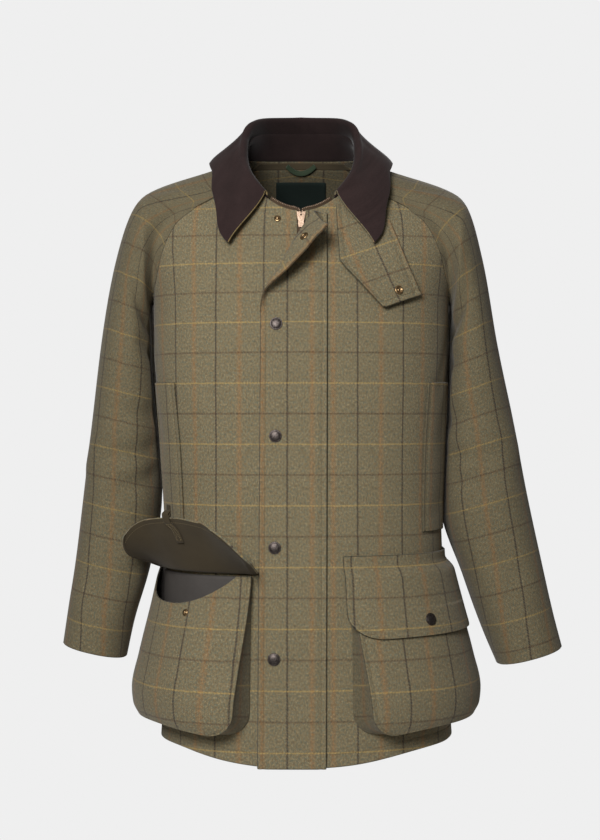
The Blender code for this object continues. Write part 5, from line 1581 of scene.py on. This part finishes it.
def tweed_look(name, shades, shade=1.0):
    """Checked tweed: twill ground with flecks, stripes up and bars across; a shade below one darkens it all
    as painted shade.
    """
    look = Look(name)
    u, v = look.cut()
    streak = look.grain(look.spot(u, v, 950.0, 210.0), 1.0, 2.0)
    fleck = look.grain(look.spot(u, v, 430.0, 330.0), 1.0, 3.0, 0.65)
    pale = look.grain(look.spot(u + 3.1, v + 1.7, 540.0, 400.0), 1.0, 3.0, 0.6)
    mottle = look.grain(look.spot(u, v, 34.0, 34.0), 1.0, 3.0, 0.6)
    colour = look.mix(look.span(fleck, 0.44, 0.60) * 0.75, shades.ground, shades.cool_fleck)
    colour = look.mix(look.span(streak, 0.50, 0.66) * 0.70, colour, shades.warm_fleck)
    colour = look.mix(look.span(pale, 0.52, 0.68) * 0.60, colour, shades.pale_fleck)
    twill = look.wave((u + v) * (2 * math.pi / 0.0030))
    rib = look.wave(u * (2 * math.pi / 0.0021))
    wobble = (mottle - 0.5) * 0.0016
    dark = look.near(u + wobble, STRIPE)
    up = look.near(v + wobble, BAR)
    haze = look.span(look.near(u + wobble, STRIPE, STRIPE / 2), 0.0008, 0.0050, 1.0, 0.0)
    colour = look.mix(haze * (0.06 + 0.38 * look.span(streak, 0.3, 0.7)), colour, shades.rust_stripe)
    dash = 0.72 + 0.28 * look.wave((v + u) * (2 * math.pi / 0.0038))
    line = look.span(dark, 0.0006, 0.0018, 1.0, 0.0)
    colour = look.mix(line * dash * (0.62 + 0.45 * fleck), colour, shades.dark_stripe)
    dash = 0.70 + 0.30 * look.wave((u - v) * (2 * math.pi / 0.0042))
    thread = look.span(up, 0.0004, 0.0015, 1.0, 0.0)
    colour = look.mix(thread * dash * (0.16 + 0.62 * pale), colour, shades.ochre_bar)
    band = look.span(look.near(v + wobble, BAR, BAR / 2), 0.0006, 0.0018, 1.0, 0.0)
    colour = look.mix(band * dash * (0.40 + 0.40 * fleck), colour, shades.brown_bar)
    grit = look.span(look.grain(look.spot(u - 2.3, v + 4.9, 330.0, 260.0), 1.0, 1.0), 0.30, 0.70)
    tone = 0.43 + 0.20 * mottle + 0.42 * pale + 0.22 * streak + 0.28 * grit + 0.06 * twill + 0.05 * rib
    # A shade below one is painted shade over the whole cloth
    colour = look.darker(colour, tone * shade)
    height = 0.30 * twill + 0.20 * rib + 0.9 * streak + 0.6 * fleck
    return look.end(colour, 0.86 + 0.10 * fleck, height, 0.35, 0.0004,
                    fixed={"Sheen Weight": 0.12, "Sheen Roughness": 0.5, "Specular IOR Level": 0.15})


def plain_look(name, shade, pale, over=900.0, up=900.0, rough=0.9, bump=0.3, sheen=0.1, painted_inside_shade=1.0):
    """Plain woven or brushed cloth with slight wear in its shade; before the cut's start it is darkened as
    painted shade.
    """
    look = Look(name)
    u, v = look.cut()
    nap = look.grain(look.spot(u, v, over, up), 1.0, 3.0, 0.6)
    cloud = look.grain(look.spot(u, v, 26.0, 26.0), 1.0, 4.0, 0.6)
    weave = look.wave(u * (2 * math.pi / 0.0016)) * look.wave(v * (2 * math.pi / 0.0016))
    colour = look.mix(look.span(0.55 * nap + 0.45 * cloud, 0.36, 0.66), shade, pale)
    # Painted shade: darker before the cut's start, on the collar's inside
    if painted_inside_shade < 1:
        tone = look.span(u, -0.010, 0.003, painted_inside_shade, 1.0)
        colour = look.darker(colour, tone)
    return look.end(colour, rough + 0.08 * (nap - 0.5), 0.8 * nap + 0.15 * weave, bump, 0.0004,
                    fixed={"Sheen Weight": sheen, "Sheen Roughness": 0.45, "Specular IOR Level": 0.12})


def metal_look(name, shade, worn, rough):
    """Plated metal, dulled in patches and brighter where it is rubbed."""
    look = Look(name)
    place = look.solid()
    patch = look.grain(place, 700.0, 4.0, 0.6)
    fine = look.grain(place, 4200.0, 2.0)
    colour = look.mix(look.span(patch, 0.40, 0.68), shade, worn)
    return look.end(colour, rough + 0.25 * (patch - 0.5), 0.6 * patch + 0.4 * fine, 0.15, 0.0001,
                    metallic=0.9 + 0.1 * look.span(fine, 0.3, 0.6))


def thread_look(name, shade, pale):
    """Twisted sewing thread."""
    look = Look(name)
    place = look.solid()
    ply = look.grain(place, 1600.0, 2.0)
    return look.end(look.mix(ply, shade, pale), 0.75 + 0.1 * ply, ply, 0.2, 0.0002)


def floor_look(name, shade):
    """Pale studio floor with a very slight mottle, clear towards its rim."""
    look = Look(name)
    place = look.solid()
    mottle = look.grain(place, 3.0, 3.0)
    parts = look.node("ShaderNodeSeparateXYZ", None, {0: place})
    across = Value(look, parts.socket.node.outputs[1])
    span = look.node("ShaderNodeMath", {"operation": "SQRT"}, {0: parts * parts + across * across})
    colour = look.mix(mottle * 0.3, shade, tuple(0.94 * c for c in shade[:3]))
    return look.end(colour, 0.6 + 0.1 * mottle, alpha=look.span(span, 0.5, 1.25, 1.0, 0.0),
                    fixed={"Emission Color": (1.0, 1.0, 1.0, 1.0), "Emission Strength": 0.10})


# Sewing and zip teeth

def place_tree(name, sizes):
    """Node tree that sets one small bead at every point, turned along and facing as the points say."""
    tree = bpy.data.node_groups.new(name, "GeometryNodeTree")
    face = tree.interface
    face.new_socket("Geometry", in_out="INPUT", socket_type="NodeSocketGeometry")
    for label, value in sizes.items():
        face.new_socket(label, in_out="INPUT", socket_type="NodeSocketFloat").default_value = value
    face.new_socket("Finish", in_out="INPUT", socket_type="NodeSocketMaterial")
    face.new_socket("Geometry", in_out="OUTPUT", socket_type="NodeSocketGeometry")

    def node(kind, settings=None):
        made = tree.nodes.new(kind)
        for key, value in (settings or {}).items():
            setattr(made, key, value)
        return made

    link = tree.links.new
    start, end = node("NodeGroupInput"), node("NodeGroupOutput")
    size = node("ShaderNodeCombineXYZ")
    for k, label in enumerate(("Length", "Width", "Height")):
        link(start.outputs[label], size.inputs[k])
    bead = node("GeometryNodeMeshIcoSphere")
    bead.inputs["Radius"].default_value = 0.5
    bead.inputs["Subdivisions"].default_value = 1
    along, facing = (node("GeometryNodeInputNamedAttribute", {"data_type": "FLOAT_VECTOR"}) for _ in range(2))
    along.inputs["Name"].default_value = "along"
    facing.inputs["Name"].default_value = "facing"
    turn = node("FunctionNodeAxesToRotation", {"primary_axis": "X", "secondary_axis": "Z"})
    link(along.outputs[0], turn.inputs[0])
    link(facing.outputs[0], turn.inputs[1])
    put = node("GeometryNodeInstanceOnPoints")
    link(start.outputs["Geometry"], put.inputs["Points"])
    link(bead.outputs["Mesh"], put.inputs["Instance"])
    link(turn.outputs[0], put.inputs["Rotation"])
    link(size.outputs[0], put.inputs["Scale"])
    real = node("GeometryNodeRealizeInstances")
    link(put.outputs[0], real.inputs[0])
    smooth_faces = node("GeometryNodeSetShadeSmooth")
    link(real.outputs[0], smooth_faces.inputs[0])
    finish = node("GeometryNodeSetMaterial")
    link(smooth_faces.outputs[0], finish.inputs["Geometry"])
    link(start.outputs["Finish"], finish.inputs["Material"])
    link(finish.outputs[0], end.inputs[0])
    return tree


def set_out(name, groups, tree, sizes, finish):
    """Small beads at all the kept places, as one plain mesh."""
    place, along, facing = (np.concatenate([g[k] for g in groups]) for k in range(3))
    dots = bpy.data.meshes.new(name + "_places")
    dots.from_pydata(place.tolist(), [], [])
    for label, values in (("along", along), ("facing", facing)):
        dots.attributes.new(label, "FLOAT_VECTOR", "POINT").data.foreach_set(
            "vector", values.astype(np.float32).ravel())
    item = bpy.data.objects.new(name + "_places", dots)
    bpy.context.scene.collection.objects.link(item)
    nodes = item.modifiers.new("set out", "NODES")
    nodes.node_group = tree
    for socket in tree.interface.items_tree:
        if socket.in_out == "INPUT" and socket.name in sizes:
            nodes[socket.identifier] = sizes[socket.name]
        elif socket.in_out == "INPUT" and socket.name == "Finish":
            nodes[socket.identifier] = finish
    shown = item.evaluated_get(bpy.context.evaluated_depsgraph_get())
    mesh = bpy.data.meshes.new_from_object(shown)
    bpy.data.objects.remove(item, do_unlink=True)
    made = bpy.data.objects.new(name, mesh)
    bpy.context.scene.collection.objects.link(made)
    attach(made, "coat")
    return made


# Press studs

CAP_PROFILE = ((0.0, 0.0), (1.0, 0.0), (1.0, 0.0007), (0.975, 0.0013), (0.92, 0.0016), (0.87, 0.0014),
               (0.82, 0.0017), (0.64, 0.0024), (0.36, 0.0029), (0.0, 0.0030))
SOCKET_PROFILE = ((0.0, 0.0), (1.0, 0.0), (1.0, 0.0006), (0.95, 0.0013), (0.82, 0.0018), (0.68, 0.0017),
                  (0.54, 0.0010), (0.47, 0.0004), (0.24, 0.0004), (0.18, 0.0009), (0.0, 0.0010))
STUD_PROFILE = ((0.0, 0.0), (1.0, 0.0), (1.0, 0.0005), (0.94, 0.0010), (0.66, 0.0012), (0.50, 0.0015),
                (0.53, 0.0024), (0.44, 0.0031), (0.22, 0.0034), (0.0, 0.0035))


def turned(name, profile, radius, place, axis, finish, steps=40):
    """A round stud: a profile of (share of the radius, height) turned about an axis."""
    lift = unit(np.asarray(axis, dtype=float))
    helper = np.array([1.0, 0.0, 0.0]) if abs(lift[0]) < 0.8 else np.array([0.0, 0.0, 1.0])
    side_a = unit(np.cross(helper, lift))
    side_b = np.cross(lift, side_a)
    angle = np.linspace(0, 2 * math.pi, steps + 1)[:-1]
    out = np.cos(angle)[:, None] * side_a + np.sin(angle)[:, None] * side_b
    verts, rings = [], []
    for share, height in profile:
        rings.append([len(verts)] if share == 0 else list(range(len(verts), len(verts) + steps)))
        verts += [place + lift * height] if share == 0 else list(place + out * share * radius + lift * height)
    faces = []
    for low, high in zip(rings[:-1], rings[1:]):
        for k in range(steps):
            n = (k + 1) % steps
            if len(low) == 1:
                faces.append((low[0], high[n], high[k]))
            elif len(high) == 1:
                faces.append((low[k], low[n], high[0]))
            else:
                faces.append((low[k], low[n], high[n], high[k]))
    return solid(name, [tuple(v) for v in verts], faces, finish)


def press_studs():
    """Caps, sockets and studs at their places on the cloth."""
    for number, level in enumerate(SNAP_HEIGHTS, start=1):
        down = (PLACKET_TOP - level) / (PLACKET_TOP - PLACKET_BOTTOM)
        x = PLACKET_EDGE_X - PLACKET_LEAN * down + SNAP_INSET
        spot, normal, _, _ = front(np.array(x), np.array(level), DOUBLE + BODY_SEAT)
        turned(f"placket_snap_{number}", CAP_PROFILE, CAP_RADIUS, spot, normal,
               LOOKS["gunmetal"])
    share, level = SOCKET_SHARE, PLACKET_TOP - SOCKET_DROP
    spot = placket_points(np.array([share]), np.array([level]))[0][0, 0]
    across = placket_points(np.array([share + 0.01]), np.array([level]))[0][0, 0] - spot
    up = placket_points(np.array([share]), np.array([level + 0.002]))[0][0, 0] - spot
    under = unit(np.cross(across, up))
    turned("placket_socket", SOCKET_PROFILE, RING_RADIUS, spot + under * DOUBLE, under,
           LOOKS["brass"])
    spot, normal, _, _ = front(*(np.array(at) for at in FRONT_STUD_SPOT), 0.0)
    turned("front_stud", STUD_PROFILE, STUD_RADIUS, spot, normal, LOOKS["brass"])
    u0, v0 = TAB_SOCKET_SPOT
    spot, _ = tab_points(np.array([u0, u0 + 0.02]), np.array([v0, v0 + 0.02]))
    normal = unit(np.cross(spot[0, 1] - spot[0, 0], spot[0, 0] - spot[1, 0]))
    turned("throat_socket", SOCKET_PROFILE, RING_RADIUS, spot[0, 0], normal, LOOKS["brass"])
    q = flap_place(np.array(CAP_SPOT[0]), np.array(CAP_SPOT[1]), FLAP_END_Q)
    level = np.array(FLAP_TOP - FLAP_DROP * CAP_SPOT[1])
    spot = off_body(q, level, LEFT, flap_off(level))
    up = off_body(q, level + 0.002, LEFT, flap_off(level + 0.002)) - spot
    ahead = off_body(q + 0.01, level, LEFT, flap_off(level)) - spot
    turned("left_pocket_snap", CAP_PROFILE, CAP_RADIUS, spot, np.cross(ahead, up),
           LOOKS["gunmetal"])
    u0, v0 = (np.array(share) for share in STUD_SPOT)
    place = pocket_front(u0, v0, RIGHT)
    across = pocket_front(u0 + 0.01, v0, RIGHT) - place
    down = pocket_front(u0, v0 + 0.01, RIGHT) - place
    turned("right_pocket_stud", STUD_PROFILE, STUD_RADIUS, place, np.cross(across, down),
           LOOKS["brass"])


# Settings

def colour_setting(label, note, *numbers):
    """A colour setting."""
    return bpy.props.FloatVectorProperty(name=label, description=note, subtype="COLOR", size=3,
                                         min=0.0, max=1.0, default=srgb(*numbers))


def length_setting(label, note, value):
    """A length setting."""
    return bpy.props.FloatProperty(name=label, description=note, default=value, min=0.0,
                                   unit="LENGTH", precision=5)


class CoatShades(bpy.types.PropertyGroup):
    """Colours of the coat."""
    ground: colour_setting("Ground", "Ground of the tweed", 136, 122, 92)
    cool_fleck: colour_setting("Cool fleck", "Green-grey fleck in the ground", 104, 112, 98)
    warm_fleck: colour_setting("Warm fleck", "Brown fleck in the ground", 112, 90, 64)
    pale_fleck: colour_setting("Pale fleck", "Straw fleck in the ground", 166, 152, 118)
    dark_stripe: colour_setting("Dark stripe", "Thin dark stripe up the cloth", 52, 42, 46)
    rust_stripe: colour_setting("Rust stripe", "Soft rust stripe up the cloth", 168, 112, 58)
    ochre_bar: colour_setting("Ochre bar", "Thin ochre bar across the cloth", 206, 172, 98)
    brown_bar: colour_setting("Brown bar", "Thin brown bar across the cloth", 84, 60, 48)
    collar: colour_setting("Collar", "Brushed collar cloth", 50, 38, 37)
    olive: colour_setting("Olive", "Plain cloth of the band, strap and flap lining", 70, 61, 46)
    nylon: colour_setting("Pocket lining", "Lining of the open pocket", 78, 74, 71)
    label: colour_setting("Label", "Bare woven label", 24, 32, 29)
    loop: colour_setting("Hanger loop", "Braid of the hanger loop", 46, 56, 42)
    tape: colour_setting("Zip tape", "Woven zip tape", 78, 64, 50)
    thread: colour_setting("Thread", "Sewing thread", 112, 98, 70)


class CoatSizes(bpy.types.PropertyGroup):
    """Small sizes and the stage."""
    stitch_length: length_setting("Stitch length", "Length of a stitch that shows", 0.0026)
    stitch_width: length_setting("Stitch width", "Width of the thread", 0.00065)
    tooth_length: length_setting("Tooth length", "Zip tooth, across the zip", 0.0036)
    tooth_width: length_setting("Tooth width", "Zip tooth, along the zip", 0.0018)
    tooth_height: length_setting("Tooth height", "Zip tooth, off the tape", 0.0022)
    floor_drop: length_setting("Floor below hem", "How far the floor lies below the hem", 0.50)
    camera_distance: length_setting("Camera distance", "From the camera to the middle of the coat", 2.60)


def settings(context):
    """Both groups of settings."""
    return context.scene.coat_shades, context.scene.coat_sizes


# Operators

class COAT_OT_finishes(bpy.types.Operator):
    """Make the cloth, thread and metal finishes"""
    bl_idname = "coat.finishes"
    bl_label = "Finishes"

    def execute(self, context):
        shades, _ = settings(context)

        def paler(colour, by):
            return tuple(min(c * by, 1.0) for c in colour)

        LOOKS["tweed"] = tweed_look("checked_tweed", shades)
        # Painted shade: a darker copy of the tweed for the inside, the neck facing and the edges in the seams
        LOOKS["facing"] = tweed_look("painted_shade_tweed", shades, 0.46)
        # Painted shade: the sleeves' tweed is darker, as they lie in shade
        LOOKS["sleeve"] = tweed_look("painted_shade_sleeve_tweed", shades, 0.77)
        # Painted shade: the gussets' tweed is darker, as they lie in shadow beside the pockets
        LOOKS["gusset"] = tweed_look("painted_shade_gusset_tweed", shades, 0.68)
        # Painted shade: the undercollar's tweed is slightly darker
        LOOKS["undercollar"] = tweed_look("painted_shade_undercollar_tweed", shades, 0.90)
        # The collar's last setting, 0.5, is the tone of the painted shade on its inside
        LOOKS["collar"] = plain_look("brushed_collar", paler(shades.collar, 0.82), paler(shades.collar, 1.50),
                                     700, 700, 0.92, 0.25, 0.15, 0.5)
        LOOKS["olive"] = plain_look("olive_lining", shades.olive, paler(shades.olive, 1.3), 1200, 500, 0.88)
        LOOKS["nylon"] = plain_look("pocket_nylon", shades.nylon, paler(shades.nylon, 1.35),
                                    900, 900, 0.60, 0.2, 0.0)
        LOOKS["label"] = plain_look("bare_label", shades.label, paler(shades.label, 1.4),
                                    1500, 1500, 0.70, 0.2, 0.05)
        LOOKS["loop"] = plain_look("loop_braid", shades.loop, paler(shades.loop, 1.7), 900, 900, 0.80)
        LOOKS["tape"] = plain_look("zip_tape", shades.tape, paler(shades.tape, 1.4), 500, 1500, 0.85)
        LOOKS["thread"] = thread_look("sewing_thread", shades.thread, paler(shades.thread, 1.4))
        LOOKS["gunmetal"] = metal_look("dulled_gunmetal", srgb(66, 59, 57), srgb(116, 107, 102), 0.46)
        LOOKS["brass"] = metal_look("old_brass", srgb(140, 112, 80), srgb(196, 166, 122), 0.34)
        LOOKS["copper"] = metal_look("copper_zip", srgb(160, 132, 112), srgb(210, 186, 162), 0.42)
        return {"FINISHED"}


class COAT_OT_body(bpy.types.Operator):
    """Make the fronts and the back"""
    bl_idname = "coat.body"
    bl_label = "Fronts and back"

    def execute(self, context):
        front_panel("right_front", RIGHT)
        front_panel("left_front", LEFT)
        back_panel()
        return {"FINISHED"}


class COAT_OT_sleeves(bpy.types.Operator):
    """Make the four halves of the raglan sleeves"""
    bl_idname = "coat.sleeves"
    bl_label = "Sleeves"

    def execute(self, context):
        for prefix, table, side in (("right", SLEEVE_RIGHT, RIGHT), ("left", SLEEVE_LEFT, LEFT)):
            sleeve_half(prefix, table, side, False)
            sleeve_half(prefix, table, side, True)
        return {"FINISHED"}


class COAT_OT_collar(bpy.types.Operator):
    """Make the collar's stand and leaf"""
    bl_idname = "coat.collar"
    bl_label = "Collar"

    def execute(self, context):
        collar()
        return {"FINISHED"}


class COAT_OT_closing(bpy.types.Operator):
    """Make the placket, the zip tapes and the throat tab"""
    bl_idname = "coat.closing"
    bl_label = "Placket, zip and throat tab"

    def execute(self, context):
        placket()
        zip_tapes()
        throat_tab()
        return {"FINISHED"}


class COAT_OT_pockets(bpy.types.Operator):
    """Make the bellows pockets, their flaps, strap and lining, and the welts"""
    bl_idname = "coat.pockets"
    bl_label = "Pockets"

    def execute(self, context):
        bellows_pocket("right_pocket", RIGHT)
        bellows_pocket("left_pocket", LEFT)
        closed_flap()
        lifted_flap()
        hold_strap()
        pocket_lining()
        welts()
        return {"FINISHED"}


class COAT_OT_neck(bpy.types.Operator):
    """Make the band, facing, bare label and hanger loop inside the neck"""
    bl_idname = "coat.neck"
    bl_label = "Inside the neck"

    def execute(self, context):
        neck_inside()
        hanger_loop()
        return {"FINISHED"}


class COAT_OT_studs(bpy.types.Operator):
    """Make the press studs and finish the zip's slider and pull"""
    bl_idname = "coat.studs"
    bl_label = "Studs and slider"

    def execute(self, context):
        press_studs()
        for name in ("zip_slider", "zip_pull_tab"):
            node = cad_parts[name]
            node.data.materials.clear()
            node.data.materials.append(LOOKS["copper"])
        return {"FINISHED"}


class COAT_OT_sewing(bpy.types.Operator):
    """Set out the stitches and the zip's teeth"""
    bl_idname = "coat.sewing"
    bl_label = "Stitches and teeth"

    def execute(self, context):
        _, sizes = settings(context)
        stitch = {"Length": sizes.stitch_length, "Width": sizes.stitch_width, "Height": sizes.stitch_width}
        tree = place_tree("stitch", stitch)
        set_out("stitches", STITCHES, tree, stitch, LOOKS["thread"])
        tooth = {"Length": sizes.tooth_length, "Width": sizes.tooth_width, "Height": sizes.tooth_height}
        tree = place_tree("tooth", tooth)
        set_out("zip_teeth", TEETH, tree, tooth, LOOKS["copper"])
        return {"FINISHED"}


class COAT_OT_stage(bpy.types.Operator):
    """Make the pale floor, the soft lights and the camera"""
    bl_idname = "coat.stage"
    bl_label = "Stage"

    def execute(self, context):
        _, sizes = settings(context)
        stage(context.scene, sizes)
        return {"FINISHED"}


AMBIENT = 0.11
FLOOR_RADIUS = 1.3
PHOTO_HEIGHT = 840
PHOTO_PIXEL = 0.00141
SENSOR = 36.0
CAMERA_SPOT = (-0.0014, -0.3497)
LAMP_COLUMNS = ("name", "place", "width", "power")
LAMP_AIM = (0.0, 0.0, -0.38)
LAMPS = (
    ("key_light", (-0.70, -2.6, 0.62), 1.0, 64.0),
    ("top_light", (-0.3, -0.9, 2.0), 1.8, 4.0),
    ("back_light", (0.3, 2.6, 1.2), 1.8, 34.0),
)


def stage(scene, sizes):
    """Floor, lights, pale surroundings and camera."""
    work = bmesh.new()
    bmesh.ops.create_circle(work, cap_ends=True, segments=96, radius=FLOOR_RADIUS)
    mesh = bpy.data.meshes.new("floor")
    for vertex in work.verts:
        vertex.co.z = CAD_BOX[0][2] - sizes.floor_drop
    work.to_mesh(mesh)
    work.free()
    mesh.materials.append(floor_look("pale_floor", srgb(236, 236, 236)))
    floor = bpy.data.objects.new("floor", mesh)
    scene.collection.objects.link(floor)
    world = bpy.data.worlds.new("pale_room")
    world.use_nodes = True
    tree = world.node_tree
    ground = tree.nodes["Background"]
    ground.inputs["Color"].default_value = (*srgb(239, 239, 239), 1.0)
    soft = tree.nodes.new("ShaderNodeBackground")
    soft.inputs["Color"].default_value = (1.0, 0.985, 0.96, 1.0)
    soft.inputs["Strength"].default_value = AMBIENT
    path = tree.nodes.new("ShaderNodeLightPath")
    either = tree.nodes.new("ShaderNodeMixShader")
    tree.links.new(path.outputs["Is Camera Ray"], either.inputs[0])
    tree.links.new(soft.outputs[0], either.inputs[1])
    tree.links.new(ground.outputs[0], either.inputs[2])
    tree.links.new(either.outputs[0], tree.nodes["World Output"].inputs["Surface"])
    scene.world = world
    scene.view_settings.view_transform = "Standard"
    for lamp in named(LAMPS, LAMP_COLUMNS):
        light = bpy.data.lights.new(lamp["name"], "AREA")
        light.size = lamp["width"]
        light.energy = lamp["power"]
        item = bpy.data.objects.new(lamp["name"], light)
        item.location = lamp["place"]
        towards = Vector(LAMP_AIM) - Vector(lamp["place"])
        item.rotation_euler = towards.to_track_quat("-Z", "Y").to_euler()
        scene.collection.objects.link(item)
    lens = bpy.data.cameras.new("camera")
    lens.sensor_width = SENSOR
    lens.lens = SENSOR * sizes.camera_distance / (PHOTO_HEIGHT * PHOTO_PIXEL)
    camera = bpy.data.objects.new("camera", lens)
    camera.location = (CAMERA_SPOT[0], -sizes.camera_distance, CAMERA_SPOT[1])
    camera.rotation_euler = (math.pi / 2, 0.0, 0.0)
    scene.collection.objects.link(camera)
    scene.camera = camera


class COAT_PT_panel(bpy.types.Panel):
    """The coat's steps and settings"""
    bl_idname = "COAT_PT_panel"
    bl_label = "Shooting coat"
    bl_space_type = "VIEW_3D"
    bl_region_type = "UI"
    bl_category = "Coat"

    def draw(self, context):
        for step in STEPS:
            self.layout.operator(step.bl_idname)
        for group in settings(context):
            for name in group.__annotations__:
                self.layout.prop(group, name)


STEPS = (COAT_OT_finishes, COAT_OT_body, COAT_OT_sleeves, COAT_OT_collar, COAT_OT_closing, COAT_OT_pockets,
         COAT_OT_neck, COAT_OT_studs, COAT_OT_sewing, COAT_OT_stage)
CLASSES = (CoatShades, CoatSizes, *STEPS, COAT_PT_panel)


def register():
    """Add the settings, steps and panel."""
    for item in CLASSES:
        bpy.utils.register_class(item)
    bpy.types.Scene.coat_shades = bpy.props.PointerProperty(type=CoatShades)
    bpy.types.Scene.coat_sizes = bpy.props.PointerProperty(type=CoatSizes)


def unregister():
    """Take the settings, steps and panel away."""
    del bpy.types.Scene.coat_shades
    del bpy.types.Scene.coat_sizes
    for item in reversed(CLASSES):
        bpy.utils.unregister_class(item)


def main():
    """Dress the coat."""
    register()
    for step in STEPS:
        group, name = step.bl_idname.split(".")
        getattr(getattr(bpy.ops, group), name)()


if __name__ == "__main__":
    main()
